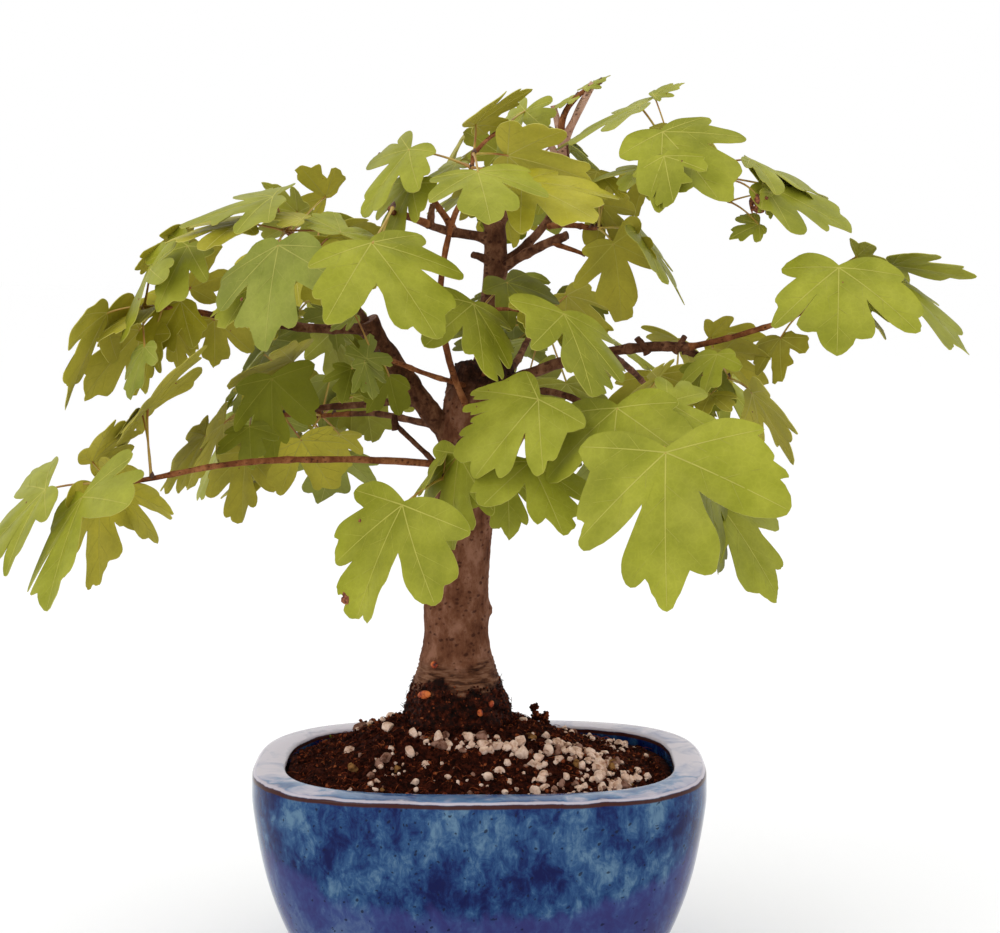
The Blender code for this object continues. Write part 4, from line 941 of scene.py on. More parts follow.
# The foliage: opposite pairs of leaves on long thin stalks, on twigs that grow
# on from the limbs' tips. The leaves placed one by one follow the photograph;
# the rest grow by a seeded rule, and are left out where they'd touch wood.
# The rule has lengths of stems and stalks, half outlines of a plain blade in
# shares of its length, the room each leaf needs, and how seeded leaves stand out.
GAP = 0.3 * MM
STALK_FAR = 42 * MM
STALK_REST = 20 * MM
STEM_STEPS = 3
STEM_NECK = 2 * MM
LEAF_HALF = ((0.42, -0.14), (0.41, 0.12), (0.69, 0.29), (0.67, 0.50), (0.20, 0.34), (0.32, 0.78))
YOUNG_HALF = ((0.44, -0.12), (0.68, 0.40), (0.20, 0.34), (0.31, 0.77))
YOUNG_LONG = 25
LEAF_HUB = 0.14
LEAF_SAG = 0.22
LEAF_ROOM = 0.95 * MM
STALK_ROOM = 1.25 * MM
LEAF_TRIES = 9
PAIR_SWING = 0.6
LEAN_AHEAD = (0.2, 0.9)
LEAN_UP = 0.2
STALK_OUT = (20, 46)
SIZE_SHARE = (0.75, 1.1)
FACING_SWING = 35
RISE_RANGE = (-62, -15)
ROLL_SWING = 25
# Leaf tints, dealt out leaf by leaf: the upper face, its paler parts, the matt
# underside, the main ribs with the leaf's edge, and the fine ribs. Green and
# blue green are fresh, and yellow is ageing, though some leaves are given yellow
# as painted light where light falls on them. The yellow and olive undersides are
# painted lighter than their faces, as painted light shining through the leaf,
# and olive goes to leaves with light coming through them. The dark tint is
# painted shade, for leaves that hang in the shade.
TINTS = {
    "g": ("green", "8a8d22", "9d9e33", "8e8c2c", "b4b050", "a1a03c"),
    "b": ("blue_green", "7f8630", "929640", "868a34", "a8a752", "949644"),
    "y": ("yellow", "a49c24", "b2aa38", "bab042", "c2ba5c", "b3ab40"),
    "o": ("olive", "968d26", "a69e36", "b6ab38", "b4ac4a", "a69d38"),
    "d": ("dark", "696b16", "7d7f20", "797b18", "8b8b2e", "7b7c22"),
}
SEEDED_TINTS = "ggybbood"
# The finer leaves: how near their stems they stay, and how small they are,
# against the others.
FINER_OUT = 0.62
FINER_SHARE = 0.7

Leaf = namedtuple("Leaf", "x y z long facing rise roll tint halves patches", defaults=("g", "", ()))
Mass = namedtuple("Mass", "name grows_from stem_end low high seed more size finer leaves small open",
                  defaults=((),))

# Masses in mm: the end of the stem, the corners of the space it keeps to, the
# seed, how many leaves the rule adds, their length, how many finer ones follow,
# and the leaves that lead it. A leaf has its base, its length and its angles
# in degrees: where its tip faces on the compass (-90 is the front), how far it
# rises, and its roll; then its tint, the halves it is drawn with, and dead
# patches on it. The small leaves are finer ones on the same stems, and the last
# numbers pick leaves of the rule to leave out, where the crown is open.
MASSES = (
    Mass("foliage_low_left", "shoot_low_left", (-158, -67, 244), (-234, -125, 180), (-116, -18, 306),
         149, 2, 36, 0, (
             Leaf(-167, -80, 241, 55, -112, -48, -28, "g", "LK"),
             Leaf(-184, -72, 243, 44, 175, -42, 28, "g", "BH"),
             Leaf(-168, -56, 252, 27, 10, 45, 35, "o"),
             Leaf(-160, -48, 241, 34, -24, -13, 51, "o"),
             Leaf(-164, -56, 240, 42, 127, -78, 24, "o"),
             Leaf(-145, -48, 274, 40, -29, 50, -13, "o")),
         (Leaf(-147, -46, 274, 24, 166, -54, 0, "o"),), (0, 1)),
    Mass("foliage_left_middle", "branch_left_mid", (-150, -18, 318), (-217, -75, 255), (-106, 50, 366),
         44, 3, 30, 0, (
             Leaf(-164, -30, 317, 47, -150, -58, -38, "y"),
             Leaf(-143, -26, 319, 38, 150, -14, 14, "y"),
             Leaf(-127, -36, 346, 34, -130, -52, 0, "g"),
             Leaf(-130, -10, 349, 30, -155, -25, -40, "o"),
             Leaf(-156, 10, 307, 41, -150, -42, -58, "y"),
             Leaf(-135, 22, 325, 25, 7, 66, 50, "o")), (
             Leaf(-146, -16, 306, 28, -120, -62, -30, "y"),
             Leaf(-140, 0, 310, 24, 49, -75, 5, "y"),
             Leaf(-144, -34, 336, 36, -138, -58, -22, "g"),
             Leaf(-134, -12, 321, 29, -140, -52, 30, "y"),
             Leaf(-121, 2, 312, 22, 90, -75, 0, "y")), (1,)),
    Mass("foliage_left_upper", "branch_left_upper", (-84, -42, 352), (-162, -118, 292), (-40, 40, 395),
         1, 2, 26, 0, (
             Leaf(-88, -46, 367, 43, -162, -14, 12, "g"),
             Leaf(-101, -50, 356, 35, -170, -10, 14, "y"),
             Leaf(-83, -80, 347, 47, -110, -63, -12, "b", "EJ"),
             Leaf(-70, 8, 367, 22, -134, 43, -40, "o"),
             Leaf(-59, -52, 351, 27, 103, 25, -13, "g")), (
             Leaf(-82, 0, 360, 22, -160, 45, -25, "g"),
             Leaf(-75, -57, 357, 19, 173, 9, 16, "y"))),
    Mass("foliage_centre_front", "leader_left", (-36, -66, 362), (-87, -150, 290), (16, 8, 380),
         1, 1, 24, 0, (
             Leaf(-44, -95, 348, 52, -40, -41, -18, "g", "CD"),
             Leaf(-29, -30, 373, 28, -150, -58, 10, "g")), ()),
    Mass("foliage_left_inner", "twig_left_inner", (-49, -37, 297), (-74, -66, 262), (-16, 8, 322),
         1, 1, 15, 0, (
             Leaf(-49, -41, 296, 16, 85, 47, -6, "b"),
             Leaf(-50, -43, 295, 17, -40, -66, 3, "b")), (
             Leaf(-56, -34, 292, 17, -118, -62, 45, "d"),
             Leaf(-40, -22, 288, 20, 174, -56, -50, "d"))),
    Mass("foliage_top_front", "shoot_front_upper", (-2, -46, 385), (-74, -122, 335), (60, 14, 425),
         43, 2, 26, 0, (
             Leaf(-30, -30, 388, 38, -150, -45, 5, "g"),
             Leaf(-9, -30, 382, 23, 162, -26, 25, "g"),
             Leaf(-2, -26, 398, 30, 4, 38, 19, "y"),
             Leaf(21, -5, 406, 28, -150, -50, 2, "g"),
             Leaf(0, -76, 377, 39, -81, -27, -3, "g"),
             Leaf(12, -36, 385, 39, 0, -11, 38, "y"),
             Leaf(18, -60, 373, 42, -37, -19, -22, "y")),
         (Leaf(-30, -6, 388, 19, -169, 5, -50, "g"),), (0, 1)),
    Mass("foliage_top_fork", "limb_top", (55, 12, 419), (16, -14, 388), (78, 45, 436), 7, 0, 10, 0, (
        Leaf(44, 14, 413, 12, -170, -25, 10, "g"),
        Leaf(48, 13, 417, 13, -10, 30, -20, "g")), ()),
    Mass("foliage_top_right", "limb_right_upper", (95, -16, 377), (32, -105, 325), (174, 40, 425),
         56, 3, 28, 0, (
             Leaf(79, -46, 395, 45, -51, -35, -29, "g"),
             Leaf(79, -62, 384, 25, -83, -48, -30, "g"),
             Leaf(72, -26, 407, 41, 175, -22, 10, "g"),
             Leaf(123, -36, 373, 46, 2, -22, -27, "g"),
             Leaf(119, -25, 384, 34, -5, -25, -6, "g")), (
             Leaf(77, -22, 411, 15, 0, 28, -20, "g"),
             Leaf(122, -44, 355, 15, -165, -22, 35, "g"),
             Leaf(126, -44, 369, 12, -50, -76, 10, "g"),
             Leaf(75, -2, 376, 20, 127, -60, -24, "o"))),
    Mass("foliage_right_hanging", "twig_right_middle", (54, -8, 353), (34, -80, 300), (116, 20, 382),
         10, 1, 22, 0, (
             Leaf(55, -12, 364, 28, 18, -50, 21, "o"),
             Leaf(60, -20, 347, 35, 45, -75, 8, "o"),
             Leaf(70, -26, 352, 39, 2, -50, -12, "g")), ()),
    Mass("foliage_right_far", "shoot_right", (153, -38, 332), (110, -115, 275), (230, 25, 362),
         8, 2, 26, 0, (
             Leaf(155, -55, 337, 47, -98, -43, 5, "g", "HI"),
             Leaf(168, -20, 341, 27, -40, -18, 45, "g"),
             Leaf(182, -28, 337, 36, -2, -4, 24, "g"),
             Leaf(181, -42, 331, 46, -20, -37, -8, "g")), (
             Leaf(166, -34, 322, 22, -25, -45, 10, "o"),
             Leaf(134, -26, 305, 23, -100, -50, -35, "o"))),
    Mass("foliage_right_middle", "branch_right_side", (112, -16, 286), (82, -72, 240), (150, 55, 325),
         6, 2, 24, 0, (
             Leaf(120, -40, 282, 37, -12, -54, 28, "y"),
             Leaf(99, -32, 292, 24, 50, -70, -8, "d"),
             Leaf(110, -8, 298, 31, 6, -44, 32, "o")),
         (Leaf(106, 12, 303, 26, -14, 6, 46, "o"),)),
    Mass("foliage_right_front", "branch_right_low", (72, -78, 278), (18, -190, 180), (168, -22, 305),
         5, 1, 34, 0, (
             Leaf(76, -125, 265, 66, -96, -61, -12, "g", "AB"),
             Leaf(58, -95, 280, 48, -104, -53, -22, "g"),
             Leaf(78, -98, 282, 31, -19, -27, -28, "g"),
             Leaf(78, -56, 289, 23, -162, -30, -38, "o"),
             Leaf(96, -80, 252, 44, -28, -75, 5, "d"),
             Leaf(104, -60, 235, 47, -25, -49, -20, "g")), (), (0,)),
    Mass("foliage_middle_front", "twig_front_middle", (0, -52, 318), (-32, -125, 268), (83, 2, 345),
         2, 1, 24, 0, (
             Leaf(-2, -70, 322, 37, -73, -45, 24, "g"),
             Leaf(36, -76, 318, 45, -65, -41, 17, "g"),
             Leaf(12, -34, 330, 36, -36, -38, -6, "d")), ()),
    Mass("foliage_front", "shoot_front_middle", (20, -72, 266), (-34, -145, 200), (58, -36, 305),
         16, 0, 24, 0, (
             Leaf(26, -90, 283, 43, -165, -46, 42, "g", "MA", ((0.52, 0.44, 0.02), (0.42, 0.05, 0.009),
                                                              (0.55, 0.24, 0.012), (0.13, 0.0, 0.012))),
             Leaf(22, -82, 256, 37, -56, -46, -13, "g")),
         (Leaf(12, -66, 250, 30, -60, -76, 0, "g"),)),
    Mass("foliage_front_low", "shoot_front_low", (-15, -60, 246), (-92, -135, 170), (26, -30, 268),
         17, 0, 24, 0, (
             Leaf(-31, -90, 239, 53, -171, -62, 38, "g", "FG", ((0.17, 0.92, 0.09), (0.19, 0.89, 0.06))),
             Leaf(-14, -60, 256, 27, 164, -48, 10, "g"),
             Leaf(-8, -68, 258, 42, -152, -79, 6, "g")), ()),
    Mass("foliage_left_low", "branch_left_low", (-102, 4, 272), (-170, -42, 198), (-50, 55, 305),
         13, 2, 26, 0, (
             Leaf(-93, -20, 287, 39, 100, -80, 28, "d"),
             Leaf(-85, 0, 293, 37, -144, -12, -38, "o"),
             Leaf(-127, 10, 258, 35, -132, -34, -55, "o"),
             Leaf(-117, 0, 265, 37, -139, -51, -50, "o"),
             Leaf(-109, 16, 250, 34, 140, -78, 0, "o"),
             Leaf(-83, 10, 256, 31, 52, -50, 50, "o")), ()),
    Mass("foliage_back_left", "branch_back_left", (-86, 104, 318), (-162, 20, 262), (-42, 165, 366),
         60, 11, 40, 6, (), ()),
    Mass("foliage_back_top", "branch_back_top", (22, 74, 383), (-30, 6, 335), (74, 140, 408),
         5, 9, 34, 5, (),
         (Leaf(9, 24, 388, 19, -173, 35, -55, "g"),)),
    Mass("foliage_back_middle", "branch_back_middle", (32, 108, 306), (-32, 48, 250), (96, 168, 350),
         9, 8, 40, 6, (), ()),
    Mass("foliage_back_right", "branch_back_right", (96, 84, 262), (38, 30, 196), (166, 142, 310),
         47, 10, 40, 6, (), ()),
    Mass("foliage_back_low", "branch_back_low", (-86, 98, 258), (-162, 44, 200), (-27, 150, 300),
         100, 8, 40, 6, (), ()),
)


def leaf_axes(leaf):
    """Unit vectors across a leaf, along it to its tip, and up out of its face."""
    facing = math.radians(leaf.facing)
    rise = math.radians(leaf.rise)
    roll = math.radians(leaf.roll)
    along = Vector((math.cos(rise) * math.cos(facing), math.cos(rise) * math.sin(facing), math.sin(rise)))
    level = Vector((math.sin(facing), -math.cos(facing), 0))
    across = level * math.cos(roll) + level.cross(along) * math.sin(roll)
    return across, along, across.cross(along)


def rough_blade(leaf):
    """The hub of a leaf's blade, then a simple outline of it, sagging from the stalk."""
    across, along, up = leaf_axes(leaf)
    half = YOUNG_HALF if leaf.long < YOUNG_LONG else LEAF_HALF
    flat = [(0.0, LEAF_HUB), (0.0, 0.0), *half, (0.0, 1.0), *((-x, y) for x, y in reversed(half))]
    base = point((leaf.x, leaf.y, leaf.z))
    long = leaf.long * MM
    return [base + (across * x + along * y - up * LEAF_SAG * (x * x + 0.5 * y * y)) * long for x, y in flat]


def leaf_tree(leaf):
    """A search tree of a leaf's blade, made thicker by the room it needs."""
    points = rough_blade(leaf)
    room = leaf_axes(leaf)[2] * LEAF_ROOM
    count = len(points)
    both = [place + room for place in points] + [place - room for place in points]
    faces = [(0, 1 + i, 1 + (i + 1) % (count - 1)) for i in range(count - 1)]
    shifted = [tuple(i + count for i in face) for face in faces]
    walls = [(i, 1 + i % (count - 1), 1 + i % (count - 1) + count, i + count) for i in range(1, count)]
    return BVHTree.FromPolygons(both, faces + shifted + walls)


def stalk_tree(start, end):
    """A search tree of a straight stalk, made thicker by the room it needs."""
    side = (end - start).orthogonal().normalized() * STALK_ROOM
    other = side.cross((end - start).normalized())
    corners = [place + offset for place in (start, end) for offset in (side, other, -side, -other)]
    return BVHTree.FromPolygons(corners, [(i, (i + 1) % 4, 4 + (i + 1) % 4, 4 + i) for i in range(4)])


def node_tree(name):
    """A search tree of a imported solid."""
    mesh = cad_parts[name].data
    return BVHTree.FromPolygons([vertex.co.copy() for vertex in mesh.vertices],
                                [tuple(face.vertices) for face in mesh.polygons])


class Sprig:
    """One mass of foliage as it grows: its stem, its twigs, and its leaves."""

    def __init__(self, mass):
        self.mass = mass
        before, tip = limb_points(by_name[mass.grows_from])[-2:]
        ahead = (tip - before).normalized()
        neck = tip + ahead * (GAP + STEM_NECK)
        self.seat = tip - ahead * 1.5 * MM
        end = point(mass.stem_end)
        self.pull = neck + ahead * (end - neck).length / 2
        self.neck = neck
        self.joints = bend(neck, self.pull, end, STEM_STEPS)[1:]
        self.twigs = []
        self.leaves = []

    def try_leaf(self, leaf, wood, blades):
        """Grow a leaf on its stalk, unless it leaves the space or touches something."""
        base = point((leaf.x, leaf.y, leaf.z))
        joint = min(self.joints, key=lambda place: (place - base).length)
        gap = (base - joint).length
        fork = joint.lerp(base, (gap - STALK_REST) / gap) if gap > STALK_FAR else None
        foot = fork or joint
        outline = rough_blade(leaf)
        low, high = point(self.mass.low), point(self.mass.high)
        if not all(low[k] <= place[k] <= high[k] for place in outline for k in range(3)):
            return False
        trees = [leaf_tree(leaf), stalk_tree(foot, base)]
        if fork:
            trees.append(stalk_tree(joint, fork))
        if any(tree.overlap(other) for tree in trees for other in wood):
            return False
        if any(trees[0].overlap(other) for other in blades):
            return False
        if fork:
            self.twigs.append((joint, fork))
            self.joints.append(fork)
        self.leaves.append((leaf, foot, trees[0]))
        return True

    def seeded_leaf(self, rng, number, share=1.0):
        """A leaf on a side of the stem chosen by the rule, a pair at each joint."""
        joint = self.joints[number // 2 % STEM_STEPS]
        forward = (self.joints[STEM_STEPS - 1] - self.joints[0]).normalized()
        turn = math.pi * (number % 2) + math.pi / 2 * (number // 2) + rng.uniform(-PAIR_SWING, PAIR_SWING)
        level = forward.orthogonal().normalized()
        side = level * math.cos(turn) + level.cross(forward) * math.sin(turn)
        out = (side + forward * rng.uniform(*LEAN_AHEAD) + Vector((0, 0, LEAN_UP))).normalized()
        base = joint + out * rng.uniform(*STALK_OUT) * MM * share
        facing = math.degrees(math.atan2(out.y, out.x)) + rng.uniform(-FACING_SWING, FACING_SWING)
        long = self.mass.size * rng.uniform(*SIZE_SHARE)
        rise = rng.uniform(*RISE_RANGE)
        return Leaf(*(base / MM), long, facing, rise, rng.uniform(-ROLL_SWING, ROLL_SWING))


sprigs = []
wood_trees = [node_tree(name) for name in ("pot", "soil", "trunk", *by_name)]
all_trees = list(wood_trees)
for mass in MASSES:
    sprig = Sprig(mass)
    for leaf in mass.leaves:
        sprig.try_leaf(leaf, all_trees, [])
    rng = random.Random(mass.seed)
    tints = random.Random(mass.seed + 1000)
    grown = 0
    for number in range(mass.more * LEAF_TRIES):
        if grown < mass.more:
            leaf = sprig.seeded_leaf(rng, number)._replace(tint=tints.choice(SEEDED_TINTS))
            grown += sprig.try_leaf(leaf, all_trees, [tree for _, _, tree in sprig.leaves])
    named = len(sprig.leaves) - grown
    sprig.leaves = [grown_leaf for i, grown_leaf in enumerate(sprig.leaves) if i - named not in mass.open]
    all_trees.append(node_tree(mass.name))
    sprigs.append(sprig)
blades_grown = [tree for sprig in sprigs for _, _, tree in sprig.leaves]
for sprig in sprigs:
    rng = random.Random(sprig.mass.seed + 77)
    before = len(sprig.leaves)
    for leaf in sprig.mass.small:
        sprig.try_leaf(leaf, wood_trees, [])
    grown = 0
    for number in range(sprig.mass.finer * LEAF_TRIES):
        if grown < sprig.mass.finer:
            leaf = sprig.seeded_leaf(rng, number, FINER_OUT)
            leaf = leaf._replace(long=leaf.long * FINER_SHARE, tint=rng.choice(SEEDED_TINTS))
            own_blades = [tree for _, _, tree in sprig.leaves[before:]]
            grown += sprig.try_leaf(leaf, wood_trees, blades_grown + own_blades)
    blades_grown.extend(tree for _, _, tree in sprig.leaves[before:])

# Half outlines of blades, from the stalk to the tip, in hundredths of the blade's
# length: across, along, and what is there (0 a smooth edge, 1 a sharp notch, 2 a
# lobe's tip with a rib to it). Field maple lobes are blunt, wider near their ends
# than at their feet, and have a few rounded teeth. Half M is torn and nibbled.
NOTCH = 1
LOBE = 2
HALVES = {
    "A": ((9, -7, 0), (27, -14, 0), (46, -14, 0), (55, -7, 2), (53, 3, 0), (48, 10, 1), (54, 28, 0),
          (56, 38, 0), (51, 43, 1), (55, 54, 2), (51, 61, 0), (38, 58, 0), (24, 47, 0), (14, 35, 1),
          (16, 48, 0), (25, 64, 0), (27, 76, 0), (22, 85, 0), (13, 80, 1), (7, 92, 0)),
    "B": ((8, -6, 0), (22, -14, 0), (36, -18, 0), (52, -15, 0), (60, -10, 2), (56, -6, 1), (65, 5, 0),
          (65, 10, 1), (74, 19, 0), (69, 22, 1), (75, 32, 0), (74, 41, 2), (66, 46, 0), (48, 45, 0),
          (30, 36, 0), (21, 29, 1), (26, 43, 0), (33, 58, 0), (33, 70, 0), (28, 80, 0), (15, 77, 1),
          (9, 90, 0)),
    "C": ((7, -4, 0), (22, -9, 0), (38, -10, 0), (52, -5, 0), (58, 0, 2), (54, 5, 0), (47, 9, 1),
          (58, 15, 0), (68, 22, 0), (69, 28, 0), (65, 31, 1), (70, 42, 0), (73, 50, 2), (68, 56, 0),
          (54, 58, 0), (40, 52, 0), (28, 44, 0), (21, 40, 1), (22, 51, 0), (28, 68, 0), (29, 79, 0),
          (24, 86, 0), (16, 86, 1), (13, 94, 0)),
    "D": ((7, -4, 0), (22, -6, 0), (38, -2, 0), (51, 4, 2), (50, 12, 0), (41, 17, 1), (50, 28, 0),
          (58, 38, 0), (61, 51, 2), (56, 56, 0), (44, 52, 0), (32, 44, 0), (23, 39, 1), (27, 49, 0),
          (32, 61, 0), (35, 70, 0), (32, 79, 0), (24, 82, 0), (18, 84, 1), (14, 91, 0), (8, 98, 0)),
    "E": ((8, -6, 0), (26, -3, 0), (37, 8, 0), (50, 15, 0), (62, 21, 0), (65, 28, 2), (62, 34, 1),
          (65, 47, 0), (59, 57, 2), (48, 56, 0), (38, 46, 0), (27, 37, 1), (26, 53, 0), (28, 63, 0),
          (36, 69, 0), (36, 75, 0), (29, 77, 0), (20, 77, 1), (16, 86, 0), (11, 95, 0)),
    "J": ((8, -5, 0), (15, -8, 0), (28, -8, 0), (40, -1, 0), (46, 7, 2), (46, 15, 1), (55, 24, 0),
          (62, 36, 2), (58, 48, 0), (51, 50, 0), (43, 47, 0), (35, 43, 0), (27, 39, 1), (26, 46, 0),
          (29, 57, 0), (32, 68, 0), (33, 75, 0), (29, 81, 0), (22, 81, 0), (17, 79, 1), (12, 88, 0),
          (6, 97, 0)),
    "K": ((9, -13, 0), (20, -24, 0), (33, -31, 0), (45, -30, 0), (50, -22, 2), (46, -13, 0), (36, -6, 1),
          (52, -8, 0), (66, -8, 0), (72, 0, 0), (66, 6, 1), (73, 15, 0), (71, 26, 2), (60, 33, 0),
          (44, 33, 0), (28, 30, 0), (15, 25, 1), (20, 40, 0), (23, 56, 0), (23, 70, 0), (17, 77, 0),
          (13, 79, 1), (12, 90, 0)),
    "L": ((8, -5, 0), (20, -5, 0), (30, 5, 0), (32, 20, 2), (27, 28, 1), (32, 45, 0), (36, 62, 0),
          (34, 78, 2), (27, 70, 0), (19, 55, 0), (11, 42, 1), (13, 55, 0), (17, 70, 0), (23, 84, 0),
          (14, 84, 1), (9, 94, 0)),
    "F": ((9, -4, 0), (22, -6, 0), (38, -4, 0), (52, 3, 0), (61, 12, 2), (56, 18, 0), (38, 20, 1),
          (47, 30, 0), (56, 42, 0), (56, 52, 0), (49, 53, 1), (48, 64, 0), (43, 71, 2), (34, 70, 0),
          (22, 60, 0), (13, 42, 1), (20, 60, 0), (28, 74, 0), (30, 84, 0), (27, 90, 0), (21, 90, 1),
          (14, 91, 1), (16, 100, 0), (8, 103, 0)),
    "G": ((10, -9, 0), (22, -14, 0), (35, -17, 0), (47, -17, 0), (59, -14, 0), (69, -6, 2), (66, 2, 0),
          (55, 9, 1), (70, 19, 0), (75, 30, 0), (68, 40, 1), (71, 49, 0), (69, 57, 2), (60, 61, 0),
          (48, 59, 0), (36, 53, 0), (26, 42, 0), (19, 36, 1), (19, 49, 0), (20, 60, 0), (18, 70, 0),
          (19, 82, 0), (20, 92, 0), (14, 97, 0), (7, 94, 1)),
    "H": ((8, -8, 0), (20, -13, 0), (32, -12, 0), (44, -3, 0), (52, 7, 2), (49, 14, 0), (38, 19, 1),
          (50, 33, 0), (57, 46, 0), (54, 55, 1), (58, 66, 0), (58, 75, 2), (49, 74, 0), (36, 64, 0),
          (25, 47, 0), (18, 32, 1), (25, 53, 0), (35, 66, 0), (36, 75, 0), (30, 81, 0), (19, 80, 1),
          (13, 93, 0)),
    "I": ((8, -6, 0), (22, -12, 0), (38, -12, 0), (52, -4, 0), (60, 6, 2), (56, 14, 1), (66, 22, 0),
          (75, 34, 0), (77, 46, 0), (72, 52, 1), (75, 61, 0), (72, 69, 2), (63, 72, 0), (52, 68, 0),
          (41, 59, 0), (32, 49, 0), (25, 40, 1), (28, 53, 0), (32, 64, 0), (33, 75, 0), (30, 84, 0),
          (16, 85, 1), (12, 93, 0)),
    "M": ((9, -8, 0), (22, -14, 0), (35, -13, 2), (42, -4, 0), (47, 8, 0), (59, 19, 0), (72, 33, 2),
          (71, 38, 0), (64, 36, 1), (63, 40, 0), (44, 30, 1), (54, 40, 0), (66, 50, 0), (63, 56, 0),
          (54, 51, 1), (52, 54, 0), (36, 40, 1), (46, 52, 0), (48, 58, 0), (42, 58, 1), (50, 70, 0),
          (47, 76, 0), (41, 73, 1), (43, 84, 0), (38, 93, 0), (28, 97, 0), (20, 96, 0), (13, 89, 1),
          (9, 96, 0)),
}
PLAIN_HALVES = "ABCDEFGHIJK"
# Leaves from these lengths up, in mm, have side ribs, or the finest outline too.
LARGE_LEAF = 26
FINE_LEAF = 42
BLADE_THICK = 0.32 * MM
BLADE_HUB = (0.0, 0.02)
QUILT = 0.012
QUILT_WIDE = 0.07
RIB_RISE = 0.09 * MM
SIDE_RIB_RISE = 0.05 * MM
# Where the side ribs leave a main rib, and the turn that they take there.
RIB_FORKS = ((0.22, 0.80), (0.30, -0.78), (0.50, 0.72), (0.56, -0.70), (0.72, 0.62), (0.78, -0.60))
SPOT_SHARE = 0.22


def leaf_edge(leaf, rng, steps):
    """The outline of one blade, with the places of its lobes' tips."""
    own = leaf.halves or rng.choice(PLAIN_HALVES) + rng.choice(PLAIN_HALVES)
    swing = 0.0 if leaf.halves else 1.0
    sides = []
    for half in own:
        swings = [rng.uniform(0, math.tau) for _ in range(3)]
        side = []
        for x, y, kind in HALVES[half]:
            turn = math.atan2(y, x)
            reach = math.hypot(x, y) / 100 * (1 + swing * 0.05 * math.sin(2.3 * turn + swings[0])
                                              + swing * 0.035 * math.sin(6.1 * turn + swings[1]))
            turn += swing * 0.05 * math.sin(3.0 * turn + swings[2])
            side.append((reach * math.cos(turn), reach * math.sin(turn), kind))
        sides.append(side)
    corners = [(0.0, -0.012, NOTCH), *sides[0], (swing * rng.uniform(-0.03, 0.03), 1.0, LOBE),
               *((-x, y, kind) for x, y, kind in reversed(sides[1]))]
    spots = np.array([corner[:2] for corner in corners])
    count = len(corners)
    ways = np.roll(spots, -1, axis=0) - np.roll(spots, 1, axis=0)
    ways /= np.linalg.norm(ways, axis=1)[:, None]
    edge = []
    for i in range(count):
        here, after = spots[i], spots[(i + 1) % count]
        run = after - here
        far = np.linalg.norm(run)
        lean = run if corners[i][2] == NOTCH else ways[i] * far
        next_lean = run if corners[(i + 1) % count][2] == NOTCH else ways[(i + 1) % count] * far
        for t in np.arange(steps) / steps:
            ragged = 1 + (rng.gauss(0, 0.006) if t > 0 else 0.0)
            edge.append(ragged * between(here, after, lean, next_lean, t))
    lobes = [spots[i] for i in range(count) if corners[i][2] == LOBE]
    return np.array(edge), lobes


def room_ahead(starts, ends, spot, way):
    """How far along a way from a spot the first of some lines is met, at most a half."""
    run = ends - starts
    gap = starts - spot
    turned = way[0] * run[:, 1] - way[1] * run[:, 0] + 1e-12
    ahead = (gap[:, 0] * run[:, 1] - gap[:, 1] * run[:, 0]) / turned
    along = (gap[:, 0] * way[1] - gap[:, 1] * way[0]) / turned
    return min([0.5, *ahead[(ahead > 0.02) & (along > -0.01) & (along < 1.01)]])


def rib_lines(edge, lobes):
    """Main ribs from the hub to each lobe, and side ribs from them almost to the edge."""
    hub = np.array(BLADE_HUB)
    main = [(hub, hub + (tip - hub) * 0.97) for tip in lobes]
    starts = np.concatenate([edge, [hub] * len(main)])
    ends = np.concatenate([np.roll(edge, -1, axis=0), [tip for _, tip in main]])
    side = []
    for foot, tip in main:
        run = tip - foot
        for share, turn in RIB_FORKS[:6 if np.linalg.norm(run) > 0.85 else 4]:
            way = np.array((run[0] * math.cos(turn) - run[1] * math.sin(turn),
                            run[0] * math.sin(turn) + run[1] * math.cos(turn)))
            fork = foot + run * share
            side.append((fork, fork + way * 0.84 * room_ahead(starts, ends, fork, way)))
    return main, side


class Blade:
    """The curved face of one leaf: sagging, waved, and quilted between its ribs."""

    def __init__(self, leaf, rng, main_ribs):
        self.leaf = leaf
        self.ribs = main_ribs
        self.axes = np.array(leaf_axes(leaf))
        self.base = np.array((leaf.x, leaf.y, leaf.z)) * MM
        self.wave = [rng.uniform(0, math.tau), rng.uniform(0.4, 1.0), rng.uniform(0, math.tau)]
        self.fold = rng.uniform(-0.02, 0.09)

    def lie(self, spots, out=0.0):
        """Where spots of the flat blade come to lie, raised off its face by out."""
        spots = np.atleast_2d(spots)
        x, y = spots[:, 0], spots[:, 1]
        reach = np.hypot(x, y)
        turn = np.arctan2(y, x)
        rise = -LEAF_SAG * (x * x + 0.5 * y * y) + self.fold * np.abs(x)
        rise += 0.035 * self.wave[1] * reach ** 2 * np.sin(5 * turn + self.wave[0])
        rise += 0.016 * reach ** 2 * np.sin(11 * turn + self.wave[2])
        gap = np.full(len(spots), 9.0)
        for foot, tip in self.ribs:
            run = tip - foot
            share = np.clip((spots - foot) @ run / (run @ run), 0, 1)
            gap = np.minimum(gap, np.linalg.norm(spots - foot - share[:, None] * run, axis=1))
        rise += QUILT * (1 - np.exp(-(gap / QUILT_WIDE) ** 2))
        across, along, up = self.axes
        flat = x[:, None] * across + y[:, None] * along + rise[:, None] * up
        return self.base + flat * self.leaf.long * MM + up * out

    def lie_on(self, spots):
        """Where spots of the flat blade come to lie on the facets of its upper face."""
        up = Vector(self.axes[2])
        placed = []
        for spot in self.lie(spots, 4 * MM):
            hit = self.facets.ray_cast(Vector(spot), -up, 8 * MM)[0]
            placed.append(np.array(hit) if hit else spot - self.axes[2] * 4 * MM)
        return np.array(placed)


